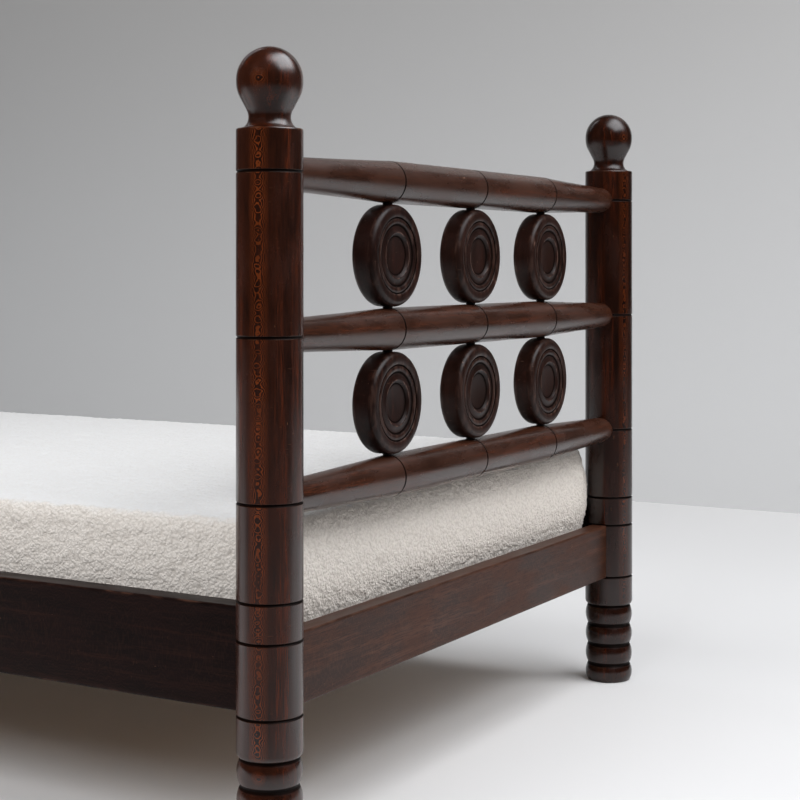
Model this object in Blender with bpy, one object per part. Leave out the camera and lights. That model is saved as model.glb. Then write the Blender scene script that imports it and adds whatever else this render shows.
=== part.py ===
"""Turned-wood single bed with ball finials, roundel end panels and a loose mattress.

Metres, +Z up. X runs along the bed, Y across it, and the origin is on the floor under its middle.
Each end frame is two turned posts, three turned rails, two rows of roundels threaded on dowels, and a
tenoned end board. Two side boards hook into the posts and carry slats on ledger strips.
"""
from math import asin, cos, degrees, pi, radians, sin

import bmesh
import bpy
from mathutils import Matrix

# Fits
CLEARANCE = 0.0003

# Mattress
MATTRESS_LENGTH = 1.880
MATTRESS_WIDTH = 0.880
MATTRESS_THICKNESS = 0.153
MATTRESS_CORNER_RADIUS = 0.036
MATTRESS_EDGE_RADIUS = 0.025
MATTRESS_CROWN = 0.006
MATTRESS_WAIST = 0.003
MATTRESS_END_GAP = 0.0025
MATTRESS_SIDE_GAP = 0.005

# Boards and what they carry
BOARD_ABOVE_BEADS = 0.04445
BOARD_FACE_OFFSET = 0.010
BOARD_EDGE_ROUND = 0.0015
END_BOARD_THICKNESS = 0.025
END_BOARD_HEIGHT = 0.0795
SIDE_BOARD_THICKNESS = 0.030
SIDE_BOARD_HEIGHT = 0.1125
HOUSING_DEPTH = 0.012
TENON_LENGTH = 0.022
TENON_THICKNESS = 0.012
TENON_SHOULDER = 0.012
LEDGER_WIDTH = 0.028
LEDGER_HEIGHT = 0.032
LEDGER_RISE = 0.001
LEDGER_END_GAP = 0.012
SLAT_COUNT = 12
SLAT_WIDTH = 0.090
SLAT_THICKNESS = 0.018
SLAT_END_GAP = 0.002
SLAT_EDGE_ROUND = 0.003
FIRST_SLAT_INSET = 0.088

# Bed hooks
PLATE_THICKNESS = 0.003
PLATE_WIDTH = 0.018
PLATE_MARGIN = 0.005
HOOK_THICKNESS = 0.004
HOOK_NECK_HEIGHT = 0.010
HOOK_DROP = 0.008
HOOK_REACH = 0.004
HOOK_SPACING = 0.036
HOOK_PLAY = 0.002

# Turned rails
RAIL_DIAMETER = 0.051
RAIL_END_DIAMETER = 0.0372
RAIL_SOCKET_DEPTH = 0.022
RAIL_COLLAR = 0.003
RAIL_GROOVE_WIDTH = 0.0026
RAIL_GROOVE_DEPTH = 0.0014
LOW_RAIL_ABOVE_SIDE_BOARD = 0.113

# Roundels and their dowels
ROUNDEL_DIAMETER = 0.122
ROUNDEL_THICKNESS = 0.0312
ROUNDEL_SPACING = 0.2155
ROUNDEL_GAP = 0.00125
ROUNDEL_RIM_ROUND = 0.0075
ROUNDEL_RIM_WIDTH = 0.0155
ROUNDEL_BEAD_WIDTH = 0.0086
ROUNDEL_COVE_WIDTH = 0.0092
ROUNDEL_WELL_WALL = 0.0045
ROUNDEL_VALLEY_DEPTH = 0.0025
ROUNDEL_BEAD_DEPTH = 0.0010
ROUNDEL_COVE_DEPTH = 0.0028
ROUNDEL_LIP_DEPTH = 0.0012
ROUNDEL_WELL_DEPTH = 0.0047
ROUNDEL_DISH_DEPTH = 0.0057
DOWEL_DIAMETER = 0.012
DOWEL_SOCKET_DEPTH = 0.036

# Turned posts
POST_DIAMETER = 0.072
POST_GROOVE_WIDTH = 0.0034
POST_GROOVE_DEPTH = 0.0017
GROOVE_ABOVE_SIDE_BOARD = 0.009
SHOULDER_ABOVE_RAIL = 0.046
SHOULDER_ROUND = 0.002
BALL_DIAMETER = 0.0715
BALL_BAND = 0.0022
THROAT_ANGLE = 28.0
NECK_COVE_RADIUS = 0.017
NECK_DIAMETER = 0.0454
NECK_RISE = 0.012
NECK_FLARE_SHARE = 0.66
BEAD_COUNT = 4
BEAD_HEIGHT = 0.0303
FOOT_BEAD_HEIGHT = 0.0262
BEAD_DIAMETER = 0.0708
BEAD_COVE_DEPTH = 0.0040
BEAD_LIP_HEIGHT = 0.0064

# Facets
POST_SEGMENTS = 16
RAIL_SEGMENTS = 12
ROUNDEL_SEGMENTS = 16
DOWEL_SEGMENTS = 8
BALL_STEPS = 4
NECK_STEPS = 2
BEAD_STEPS = 4
LIP_STEPS = 2
RIM_STEPS = 2
BOARD_ROUND_STEPS = 2
EDGE_STEPS = 3
CORNER_STEPS = 5
LONG_SIDE_STEPS = 8
SHORT_SIDE_STEPS = 5
CROWN_SHARES = (0.8, 0.5)
SHARP_ANGLE = radians(35)

# Places that follow from the sizes
MERGE_DISTANCE = CLEARANCE / 30
POST_RADIUS = POST_DIAMETER / 2
RAIL_RADIUS = RAIL_DIAMETER / 2
RAIL_END_RADIUS = RAIL_END_DIAMETER / 2
DOWEL_RADIUS = DOWEL_DIAMETER / 2
SIDE_BOARD_INSET = SIDE_BOARD_THICKNESS - BOARD_FACE_OFFSET
END_BOARD_INSET = END_BOARD_THICKNESS - BOARD_FACE_OFFSET
POST_SPACING_LENGTH = MATTRESS_LENGTH + 2 * MATTRESS_END_GAP + RAIL_DIAMETER
POST_SPACING_WIDTH = MATTRESS_WIDTH + 2 * (MATTRESS_SIDE_GAP + SIDE_BOARD_INSET)
HALF_LENGTH = POST_SPACING_LENGTH / 2
HALF_WIDTH = POST_SPACING_WIDTH / 2
BEAD_STACK = (BEAD_COUNT - 1) * BEAD_HEIGHT + FOOT_BEAD_HEIGHT
BOARD_BOTTOM = BEAD_STACK + BOARD_ABOVE_BEADS
END_BOARD_TOP = BOARD_BOTTOM + END_BOARD_HEIGHT
SIDE_BOARD_TOP = BOARD_BOTTOM + SIDE_BOARD_HEIGHT
LOW_RAIL_HEIGHT = SIDE_BOARD_TOP + LOW_RAIL_ABOVE_SIDE_BOARD
RAIL_PITCH = ROUNDEL_DIAMETER + RAIL_DIAMETER + 2 * ROUNDEL_GAP
MIDDLE_RAIL_HEIGHT = LOW_RAIL_HEIGHT + RAIL_PITCH
TOP_RAIL_HEIGHT = MIDDLE_RAIL_HEIGHT + RAIL_PITCH
SHOULDER_HEIGHT = TOP_RAIL_HEIGHT + SHOULDER_ABOVE_RAIL
HOUSING_FLOOR = POST_RADIUS - HOUSING_DEPTH
RAIL_SOCKET_FLOOR = POST_RADIUS - RAIL_SOCKET_DEPTH
LEDGER_TOP = BOARD_BOTTOM + LEDGER_RISE + LEDGER_HEIGHT
SLAT_BOTTOM = LEDGER_TOP + CLEARANCE
MATTRESS_BOTTOM = SLAT_BOTTOM + SLAT_THICKNESS + CLEARANCE
PLATE_CENTRE = BOARD_BOTTOM + SIDE_BOARD_HEIGHT / 2
PLATE_HEIGHT = HOOK_SPACING + HOOK_NECK_HEIGHT + 2 * (HOOK_DROP + HOOK_PLAY + PLATE_MARGIN)
ROUNDEL_PLACES = (-ROUNDEL_SPACING, 0.0, ROUNDEL_SPACING)

# Turns that lay a piece turned about Z along X or along Y
ALONG_X = Matrix.Rotation(radians(90), 4, "Y")
ALONG_Y = Matrix.Rotation(radians(-90), 4, "X")


def finished(shape):
    """Turn a bmesh into a mesh whose faces point outwards."""
    bmesh.ops.recalc_face_normals(shape, faces=shape.faces)
    mesh = bpy.data.meshes.new("blank")
    shape.to_mesh(mesh)
    shape.free()
    return mesh


def turned(profile, segments):
    """Spin an outline of (radius, height) points, listed top to bottom, about Z."""
    shape = bmesh.new()
    verts = [shape.verts.new((radius, 0, height)) for radius, height in profile]
    edges = [shape.edges.new(pair) for pair in zip(verts, verts[1:])]
    bmesh.ops.spin(shape, geom=verts + edges, axis=(0, 0, 1), angle=2 * pi, steps=segments, use_merge=True)
    bmesh.ops.remove_doubles(shape, verts=shape.verts, dist=MERGE_DISTANCE)
    return finished(shape)


def rod(radius, low, high, segments):
    """A plain round rod along Z."""
    return turned([(0, high), (radius, high), (radius, low), (0, low)], segments)


def block(low, high):
    """A box between two corners."""
    shape = bmesh.new()
    bmesh.ops.create_cube(shape, size=1)
    for vert in shape.verts:
        for axis in range(3):
            vert.co[axis] = low[axis] if vert.co[axis] < 0 else high[axis]
    return finished(shape)


def plank(length, thickness, height, edge_round, steps):
    """A board along X with rounded long edges, standing on z = 0 and centred on X and Y."""
    shape = bmesh.new()
    bmesh.ops.create_cube(shape, size=1)
    bmesh.ops.scale(shape, vec=(length, thickness, height), verts=shape.verts)
    bmesh.ops.translate(shape, vec=(0, 0, height / 2), verts=shape.verts)
    long_edges = [edge for edge in shape.edges if edge.verts[0].co.x * edge.verts[1].co.x < 0]
    bmesh.ops.bevel(shape, geom=long_edges, offset=edge_round, segments=steps, profile=0.5, affect="EDGES")
    return shape


def arc(centre, radius, start, end, steps):
    """Points of a circular arc in the (radius, height) plane, angles in degrees, both ends included."""
    turn = [radians(start + (end - start) * step / steps) for step in range(steps + 1)]
    return [(centre[0] + radius * cos(angle), centre[1] + radius * sin(angle)) for angle in turn]


def boolean(solid, tools, operation="DIFFERENCE"):
    """Cut the tools out of a mesh, or join them to it, and return the new mesh."""
    scene_objects = bpy.context.scene.collection.objects
    work = [bpy.data.objects.new("blank", mesh) for mesh in [solid] + tools]
    for item in work:
        scene_objects.link(item)
    for tool in work[1:]:
        step = work[0].modifiers.new("step", "BOOLEAN")
        step.operation = operation
        step.solver = "EXACT"
        step.object = tool
    graph = bpy.context.evaluated_depsgraph_get()
    result = bpy.data.meshes.new_from_object(work[0].evaluated_get(graph))
    for item in work:
        bpy.data.objects.remove(item)
    return result


def placed(mesh, matrix):
    """A copy of a mesh under a transform, turned right side out where the transform mirrors it."""
    copy = mesh.copy()
    copy.transform(matrix)
    if matrix.determinant() < 0:
        copy.flip_normals()
    return copy


def shifted(mesh, x=0.0, y=0.0, z=0.0):
    """A copy of a mesh moved by x, y and z."""
    return placed(mesh, Matrix.Translation((x, y, z)))


def finish(name, colour, roughness, metallic=0.0):
    """A plain material in the colour of the piece."""
    material = bpy.data.materials.new(name)
    material.use_nodes = True
    shader = material.node_tree.nodes["Principled BSDF"]
    shader.inputs["Base Color"].default_value = (*colour, 1)
    shader.inputs["Roughness"].default_value = roughness
    shader.inputs["Metallic"].default_value = metallic
    return material


def node(name, mesh, material, parent, place=(0, 0, 0)):
    """Put a mesh in the scene as one named piece."""
    mesh = mesh.copy()
    mesh.name = name
    mesh.materials.clear()
    mesh.materials.append(material)
    mesh.shade_smooth()
    mesh.set_sharp_from_angle(angle=SHARP_ANGLE)
    piece = bpy.data.objects.new(name, mesh)
    piece.location = place
    piece.parent = parent
    bpy.context.scene.collection.objects.link(piece)
    return piece


def finial_profile():
    """Ball, straight throat, neck cove and flared foot, from the crown down to the shoulder."""
    ball = BALL_DIAMETER / 2
    neck = NECK_DIAMETER / 2
    cove = NECK_COVE_RADIUS
    throat = radians(THROAT_ANGLE)
    neck_height = SHOULDER_HEIGHT + NECK_RISE
    ball_height = neck_height + (ball + cove - (neck + cove) * cos(throat)) / sin(throat)
    spread = NECK_FLARE_SHARE * (POST_RADIUS - SHOULDER_ROUND - neck)
    flare = (NECK_RISE ** 2 + spread ** 2) / (2 * spread)
    foot = degrees(asin(NECK_RISE / flare))
    crown_arc = arc((0, ball_height + BALL_BAND), ball, 90, 0, BALL_STEPS)
    ball_arc = arc((0, ball_height), ball, 0, -THROAT_ANGLE, NECK_STEPS)
    cove_arc = arc((neck + cove, neck_height), cove, 180 - THROAT_ANGLE, 180, NECK_STEPS)
    foot_arc = arc((neck + flare, neck_height), flare, 180, 180 + foot, NECK_STEPS)
    return crown_arc + ball_arc + cove_arc + foot_arc[1:]


def shoulder_profile():
    """The small round at the top edge of the post."""
    centre = (POST_RADIUS - SHOULDER_ROUND, SHOULDER_HEIGHT - SHOULDER_ROUND)
    return arc(centre, SHOULDER_ROUND, 90, 0, 2)


def groove_profile(height):
    """A V cut round the post."""
    half = POST_GROOVE_WIDTH / 2
    floor = POST_RADIUS - POST_GROOVE_DEPTH
    return [(POST_RADIUS, height + half), (floor, height), (POST_RADIUS, height - half)]


def foot_profile():
    """The rounded lower edge of the shaft and the stacked beads under it."""
    bead = BEAD_DIAMETER / 2
    cove = bead - BEAD_COVE_DEPTH
    heights = [BEAD_HEIGHT] * (BEAD_COUNT - 1) + [FOOT_BEAD_HEIGHT]
    level = BEAD_STACK
    points = []
    for step in range(LIP_STEPS):
        turn = pi / 2 * step / LIP_STEPS
        points.append((cove + (POST_RADIUS - cove) * cos(turn), level + BEAD_LIP_HEIGHT * (1 - sin(turn))))
    for height in heights:
        radius = (height ** 2 / 4 + BEAD_COVE_DEPTH ** 2) / (2 * BEAD_COVE_DEPTH)
        half_turn = degrees(asin(height / 2 / radius))
        centre = (bead - radius, level - height / 2)
        points += arc(centre, radius, half_turn, -half_turn, BEAD_STEPS)[:-1]
        level -= height
    return points + [(cove, 0), (0, 0)]


def post_mesh():
    """One turned post, sockets and housings cut, for the corner at +X and -Y, about its own axis."""
    rails = (TOP_RAIL_HEIGHT, MIDDLE_RAIL_HEIGHT, LOW_RAIL_HEIGHT)
    profile = finial_profile() + shoulder_profile()
    boards = (SIDE_BOARD_TOP + GROOVE_ABOVE_SIDE_BOARD, END_BOARD_TOP, BOARD_BOTTOM)
    for height in sorted(rails + boards, reverse=True):
        profile += groove_profile(height)
    shaft = turned(profile + foot_profile(), POST_SEGMENTS)
    socket = rod(RAIL_END_RADIUS + CLEARANCE, RAIL_SOCKET_FLOOR, POST_DIAMETER, RAIL_SEGMENTS)
    tools = [shifted(placed(socket, ALONG_Y), z=height) for height in rails]
    return boolean(shaft, tools + end_board_cuts() + side_board_cuts())


def end_board_cuts():
    """Housing and mortise in a post for the end board, which comes in from +Y."""
    fit = CLEARANCE
    housing = block((-END_BOARD_INSET - fit, HOUSING_FLOOR, BOARD_BOTTOM - fit),
                    (BOARD_FACE_OFFSET + fit, POST_DIAMETER, END_BOARD_TOP + fit))
    middle = (BOARD_FACE_OFFSET - END_BOARD_INSET) / 2
    half = TENON_THICKNESS / 2 + fit
    floor = HOUSING_FLOOR - TENON_LENGTH - 2 * fit
    mortise = block((middle - half, floor, BOARD_BOTTOM + TENON_SHOULDER - fit),
                    (middle + half, POST_DIAMETER, END_BOARD_TOP - TENON_SHOULDER + fit))
    return [housing, mortise]


def hook_heights():
    """Lower edge of each hook's neck."""
    middle = PLATE_CENTRE - HOOK_NECK_HEIGHT / 2
    return (middle - HOOK_SPACING / 2, middle + HOOK_SPACING / 2)


def hook_middle():
    """Middle of the side board's thickness, measured across the bed from the post's axis."""
    return (SIDE_BOARD_INSET - BOARD_FACE_OFFSET) / 2


def plate_block(low_x, high_x, grow):
    """The outline of a hook or strike plate between two distances along the bed from the post's axis."""
    middle = hook_middle()
    half = PLATE_WIDTH / 2 + grow
    rise = PLATE_HEIGHT / 2 + grow
    return block((low_x, middle - half, PLATE_CENTRE - rise), (high_x, middle + half, PLATE_CENTRE + rise))


def side_board_cuts():
    """Housing, plate recess and hook pocket in a post for the side board, which comes in from -X."""
    fit = CLEARANCE
    housing = block((-POST_DIAMETER, -BOARD_FACE_OFFSET - fit, BOARD_BOTTOM - fit),
                    (-HOUSING_FLOOR, SIDE_BOARD_INSET + fit, SIDE_BOARD_TOP + fit))
    back = -HOUSING_FLOOR + PLATE_THICKNESS + fit
    recess = plate_block(-POST_DIAMETER, back, fit)
    half = HOOK_THICKNESS / 2 + HOOK_PLAY
    low, high = hook_heights()
    pocket = block((-POST_DIAMETER, hook_middle() - half, low - HOOK_DROP - HOOK_PLAY),
                   (back + HOOK_REACH + HOOK_PLAY, hook_middle() + half, high + HOOK_NECK_HEIGHT + HOOK_PLAY))
    return [housing, recess, pocket]


def strike_plate_mesh():
    """Steel plate let into the post, with a slot for each hook to drop behind."""
    half = HOOK_THICKNESS / 2 + CLEARANCE
    middle = hook_middle()
    slots = []
    for low in hook_heights():
        top = low + HOOK_NECK_HEIGHT + HOOK_DROP + HOOK_PLAY
        slots.append(block((-POST_DIAMETER, middle - half, low - CLEARANCE), (0, middle + half, top)))
    return boolean(plate_block(-HOUSING_FLOOR, -HOUSING_FLOOR + PLATE_THICKNESS, 0), slots)


def hook_plate_mesh():
    """Steel plate let into the end of the side board, with two hooks that reach through the strike plate."""
    face = -HOUSING_FLOOR - CLEARANCE
    behind = -HOUSING_FLOOR + PLATE_THICKNESS + CLEARANCE
    tip = behind + HOOK_REACH
    near = hook_middle() - HOOK_THICKNESS / 2
    far = hook_middle() + HOOK_THICKNESS / 2
    hooks = []
    for low in hook_heights():
        top = low + HOOK_NECK_HEIGHT
        neck = block((face - PLATE_THICKNESS / 2, near, low), (tip, far, top))
        drop = block((behind, near, low - HOOK_DROP), (tip, far, low + HOOK_NECK_HEIGHT / 2))
        hooks += [neck, drop]
    return boolean(plate_block(face - PLATE_THICKNESS, face, 0), hooks, "UNION")


def rail_profile():
    """Half of a turned rail from its end to its middle, mirrored to the whole outline."""
    tip = HALF_WIDTH - RAIL_SOCKET_FLOOR - CLEARANCE
    taper_end = HALF_WIDTH - POST_RADIUS - RAIL_COLLAR
    half = RAIL_GROOVE_WIDTH / 2
    floor = RAIL_RADIUS - RAIL_GROOVE_DEPTH
    upper = [(0, tip), (RAIL_END_RADIUS, tip), (RAIL_END_RADIUS, taper_end)]
    upper += [(RAIL_RADIUS, ROUNDEL_SPACING + half), (floor, ROUNDEL_SPACING)]
    upper += [(RAIL_RADIUS, ROUNDEL_SPACING - half), (RAIL_RADIUS, half)]
    lower = [(radius, -height) for radius, height in reversed(upper)]
    return upper + [(floor, 0)] + lower


def rail_mesh(bore_low, bore_high):
    """One turned rail along Y, bored for the dowels between two heights measured from its axis."""
    rail = placed(turned(rail_profile(), RAIL_SEGMENTS), ALONG_Y)
    bore = rod(DOWEL_RADIUS + CLEARANCE, bore_low, bore_high, DOWEL_SEGMENTS)
    return boolean(rail, [shifted(bore, y=place) for place in ROUNDEL_PLACES])


def roundel_profile():
    """Rim roll, valley, bead, cove, lip and dished well of one face, mirrored to the whole outline."""
    radius = ROUNDEL_DIAMETER / 2
    face = ROUNDEL_THICKNESS / 2
    valley = radius - ROUNDEL_RIM_WIDTH
    cove = valley - ROUNDEL_BEAD_WIDTH
    lip = cove - ROUNDEL_COVE_WIDTH
    upper = [(0, face - ROUNDEL_DISH_DEPTH)]
    upper += [(lip - ROUNDEL_WELL_WALL, face - ROUNDEL_WELL_DEPTH)]
    upper += [(lip, face - ROUNDEL_LIP_DEPTH)]
    upper += [(cove, face - ROUNDEL_COVE_DEPTH)]
    upper += [(cove + ROUNDEL_BEAD_WIDTH / 2, face - ROUNDEL_BEAD_DEPTH)]
    upper += [(valley, face - ROUNDEL_VALLEY_DEPTH)]
    centre = (radius - ROUNDEL_RIM_ROUND, face - ROUNDEL_RIM_ROUND)
    upper += arc(centre, ROUNDEL_RIM_ROUND, 90, 0, RIM_STEPS)
    return upper + [(reach, -height) for reach, height in reversed(upper)]


def roundel_mesh():
    """One roundel, its axis along X, bored from top to bottom for the dowel."""
    disc = placed(turned(roundel_profile(), ROUNDEL_SEGMENTS), ALONG_X)
    bore = rod(DOWEL_RADIUS + CLEARANCE, -ROUNDEL_DIAMETER, ROUNDEL_DIAMETER, DOWEL_SEGMENTS)
    return boolean(disc, [bore])


def end_board_mesh():
    """End board along Y with a tenon worked on each end, its outer face towards +X."""
    length = POST_SPACING_WIDTH - 2 * (HOUSING_FLOOR + CLEARANCE)
    shape = plank(length, END_BOARD_THICKNESS, END_BOARD_HEIGHT, BOARD_EDGE_ROUND, BOARD_ROUND_STEPS)
    share_y = TENON_THICKNESS / END_BOARD_THICKNESS
    share_z = 1 - 2 * TENON_SHOULDER / END_BOARD_HEIGHT
    for side in (-1, 1):
        end = [face for face in shape.faces if face.normal.x * side > 0.99]
        for reach, scale in ((0, (1, share_y, share_z)), (TENON_LENGTH, (1, 1, 1))):
            grown = bmesh.ops.extrude_discrete_faces(shape, faces=end)
            end = grown["faces"]
            verts = end[0].verts
            lowered = Matrix.Translation((0, 0, -END_BOARD_HEIGHT / 2))
            bmesh.ops.scale(shape, vec=scale, space=lowered, verts=verts)
            bmesh.ops.translate(shape, vec=(side * reach, 0, 0), verts=verts)
    turn = Matrix.Rotation(radians(90), 4, "Z")
    middle = (BOARD_FACE_OFFSET - END_BOARD_INSET) / 2
    return placed(finished(shape), Matrix.Translation((middle, 0, BOARD_BOTTOM)) @ turn)


def side_board_mesh():
    """Side board along X, its ends let in for the hook plates, its outer face towards -Y."""
    length = POST_SPACING_LENGTH - 2 * (HOUSING_FLOOR + CLEARANCE)
    shape = plank(length, SIDE_BOARD_THICKNESS, SIDE_BOARD_HEIGHT, BOARD_EDGE_ROUND, BOARD_ROUND_STEPS)
    board = shifted(finished(shape), y=hook_middle(), z=BOARD_BOTTOM)
    floor = -HOUSING_FLOOR - PLATE_THICKNESS - 2 * CLEARANCE
    recess = shifted(plate_block(floor, 0, CLEARANCE), x=HALF_LENGTH)
    return boolean(board, [recess, placed(recess, Matrix.Scale(-1, 4, (1, 0, 0)))])


def mattress_outline(inset, waist_share):
    """Rounded rectangle in plan, drawn in between its corners, listed anticlockwise."""
    half_x = MATTRESS_LENGTH / 2 - inset
    half_y = MATTRESS_WIDTH / 2 - inset
    corner = MATTRESS_CORNER_RADIUS - inset
    flat_x = half_x - corner
    flat_y = half_y - corner
    waist = MATTRESS_WAIST * waist_share
    points = []
    for quarter, (sign_x, sign_y) in enumerate(((1, 1), (-1, 1), (-1, -1), (1, -1))):
        for step in range(CORNER_STEPS + 1):
            turn = pi / 2 * (quarter + step / CORNER_STEPS)
            points.append((sign_x * flat_x + corner * cos(turn), sign_y * flat_y + corner * sin(turn)))
        along_x = quarter % 2 == 0
        steps = LONG_SIDE_STEPS if along_x else SHORT_SIDE_STEPS
        for step in range(1, steps):
            run = 1 - 2 * step / steps
            draw = waist * (1 - run ** 2)
            if along_x:
                points.append((sign_x * flat_x * run, sign_y * (half_y - draw)))
            else:
                points.append((sign_x * (half_x - draw), sign_y * flat_y * run))
    return points


def mattress_mesh():
    """Crowned mattress with soft edges, flat underneath, standing on z = 0."""
    edge = MATTRESS_EDGE_RADIUS
    rim = MATTRESS_THICKNESS - MATTRESS_CROWN
    turns = [pi / 2 * step / EDGE_STEPS for step in range(EDGE_STEPS + 1)]
    rings = [(edge * (1 - sin(turn)), edge * (1 - cos(turn))) for turn in turns]
    rings += [(edge * (1 - cos(turn)), rim - edge * (1 - sin(turn))) for turn in turns]
    shape = bmesh.new()
    loops = []
    for inset, height in rings:
        outline = mattress_outline(inset, sin(pi * height / rim))
        loops.append([shape.verts.new((x, y, height)) for x, y in outline])
    for share in CROWN_SHARES:
        height = rim + MATTRESS_CROWN * (1 - share ** 2) / (1 - CROWN_SHARES[-1] ** 2)
        loops.append([shape.verts.new((x * share, y * share, height)) for x, y in mattress_outline(edge, 0)])
    for lower, upper in zip(loops, loops[1:]):
        for index in range(len(lower)):
            shape.faces.new((lower[index - 1], lower[index], upper[index], upper[index - 1]))
    shape.faces.new(loops[0])
    shape.faces.new(loops[-1])
    return finished(shape)


def build_end(name, side, frame, woods):
    """One end frame: rails, roundels, dowels and end board, at x = side * HALF_LENGTH."""
    x = side * HALF_LENGTH
    socket = RAIL_RADIUS - DOWEL_SOCKET_DEPTH - CLEARANCE
    rails = {"top": (TOP_RAIL_HEIGHT, rail_mesh(-RAIL_DIAMETER, -socket)),
             "middle": (MIDDLE_RAIL_HEIGHT, rail_mesh(-RAIL_DIAMETER, RAIL_DIAMETER)),
             "bottom": (LOW_RAIL_HEIGHT, rail_mesh(socket, RAIL_DIAMETER))}
    for level, (height, mesh) in rails.items():
        node(f"rail_{name}_{level}", mesh, woods["rail"], frame, (x, 0, height))
    roundel = roundel_mesh()
    dowel_low = LOW_RAIL_HEIGHT + RAIL_RADIUS - DOWEL_SOCKET_DEPTH
    dowel_high = TOP_RAIL_HEIGHT - RAIL_RADIUS + DOWEL_SOCKET_DEPTH
    dowel = rod(DOWEL_RADIUS, dowel_low, dowel_high, DOWEL_SEGMENTS)
    for column, y in zip(("front", "centre", "back"), ROUNDEL_PLACES):
        node(f"dowel_{name}_{column}", dowel, woods["dowel"], frame, (x, y, 0))
        for row, height in (("upper", TOP_RAIL_HEIGHT), ("lower", MIDDLE_RAIL_HEIGHT)):
            place = (x, y, height - RAIL_PITCH / 2)
            node(f"roundel_{name}_{row}_{column}", roundel, woods["roundel"], frame, place)
    mirror = Matrix.Diagonal((side, 1, 1, 1))
    node(f"end_board_{name}", placed(end_board_mesh(), mirror), woods["board"], frame, (x, 0, 0))


def build_corners(frame, woods, steel):
    """The four posts with their strike plates and the hook plates of the side boards."""
    post = post_mesh()
    strike = strike_plate_mesh()
    hook = hook_plate_mesh()
    for end, side_x in (("right", 1), ("left", -1)):
        for face, side_y in (("front", 1), ("back", -1)):
            mirror = Matrix.Diagonal((side_x, side_y, 1, 1))
            place = (side_x * HALF_LENGTH, -side_y * HALF_WIDTH, 0)
            node(f"post_{end}_{face}", placed(post, mirror), woods["post"], frame, place)
            node(f"strike_plate_{end}_{face}", placed(strike, mirror), steel, frame, place)
            node(f"hook_plate_{end}_{face}", placed(hook, mirror), steel, frame, place)


def build_sides(frame, woods):
    """Side boards, ledger strips and slats."""
    board = side_board_mesh()
    ledger_length = POST_SPACING_LENGTH - 2 * (POST_RADIUS + LEDGER_END_GAP)
    ledger = finished(plank(ledger_length, LEDGER_WIDTH, LEDGER_HEIGHT, BOARD_EDGE_ROUND, 1))
    board_inside = HALF_WIDTH - SIDE_BOARD_INSET
    ledger_y = board_inside - CLEARANCE - LEDGER_WIDTH / 2
    for face, side in (("front", 1), ("back", -1)):
        mirror = Matrix.Diagonal((1, side, 1, 1))
        node(f"side_board_{face}", placed(board, mirror), woods["board"], frame, (0, -side * HALF_WIDTH, 0))
        ledger_place = (0, -side * ledger_y, LEDGER_TOP - LEDGER_HEIGHT)
        node(f"ledger_{face}", ledger, woods["slat"], frame, ledger_place)
    slat_length = 2 * (board_inside - SLAT_END_GAP)
    slat = placed(finished(plank(slat_length, SLAT_WIDTH, SLAT_THICKNESS, SLAT_EDGE_ROUND, 1)),
                  Matrix.Rotation(radians(90), 4, "Z"))
    first = MATTRESS_LENGTH / 2 - FIRST_SLAT_INSET
    for index in range(SLAT_COUNT):
        x = first - 2 * first * index / (SLAT_COUNT - 1)
        node(f"slat_{index + 1:02d}", slat, woods["slat"], frame, (x, 0, SLAT_BOTTOM))


def build_bed():
    """The whole bed: a fixed frame, and a mattress that lifts straight up off its slats."""
    for item in list(bpy.data.objects):
        bpy.data.objects.remove(item)
    frame = bpy.data.objects.new("bed_frame", None)
    bpy.context.scene.collection.objects.link(frame)
    woods = {"post": finish("post_wood", (0.032, 0.013, 0.010), 0.32),
             "rail": finish("rail_wood", (0.050, 0.026, 0.020), 0.34),
             "roundel": finish("roundel_wood", (0.026, 0.013, 0.011), 0.32),
             "dowel": finish("dowel_wood", (0.012, 0.007, 0.006), 0.45),
             "board": finish("board_wood", (0.055, 0.036, 0.031), 0.42),
             "slat": finish("slat_wood", (0.42, 0.27, 0.15), 0.65)}
    steel = finish("hook_steel", (0.45, 0.44, 0.42), 0.38, 1.0)
    boucle = finish("mattress_boucle", (0.78, 0.75, 0.70), 0.95)
    build_corners(frame, woods, steel)
    for name, side in (("right", 1), ("left", -1)):
        build_end(name, side, frame, woods)
    build_sides(frame, woods)
    node("mattress", mattress_mesh(), boucle, None, (0, 0, MATTRESS_BOTTOM))


build_bed()
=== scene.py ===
# %% [markdown]
# # A turned-wood bed, dressed piece by piece
#
# The real bed is lathe work: posts, rails and roundels were turned from solid wood, stained dark and waxed,
# and plain planed boards join the two ends. A thick mattress in a loopy boucle cover lies loose inside the
# frame. The frame below holds every piece at its real size and place. This file only gives each one its
# fine surface.

# %% Load the frame
from math import asin, atan2, cos, degrees, pi, radians, sin

import bmesh
import bpy
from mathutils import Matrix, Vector


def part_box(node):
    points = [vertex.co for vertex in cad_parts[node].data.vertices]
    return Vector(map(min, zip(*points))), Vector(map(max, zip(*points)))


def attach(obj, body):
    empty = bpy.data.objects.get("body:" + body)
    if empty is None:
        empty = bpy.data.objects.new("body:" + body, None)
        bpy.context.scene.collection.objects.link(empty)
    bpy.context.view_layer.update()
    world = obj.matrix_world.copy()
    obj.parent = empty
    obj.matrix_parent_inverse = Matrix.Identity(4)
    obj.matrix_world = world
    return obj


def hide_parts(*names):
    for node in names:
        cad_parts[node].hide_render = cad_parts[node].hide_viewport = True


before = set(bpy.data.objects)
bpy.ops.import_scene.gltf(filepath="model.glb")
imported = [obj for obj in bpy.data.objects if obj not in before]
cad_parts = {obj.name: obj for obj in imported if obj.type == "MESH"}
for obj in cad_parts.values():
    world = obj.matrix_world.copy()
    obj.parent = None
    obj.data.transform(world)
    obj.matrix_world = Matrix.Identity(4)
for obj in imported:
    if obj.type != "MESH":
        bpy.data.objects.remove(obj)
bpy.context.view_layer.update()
FRAME_BODY = "bed_frame"
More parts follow.
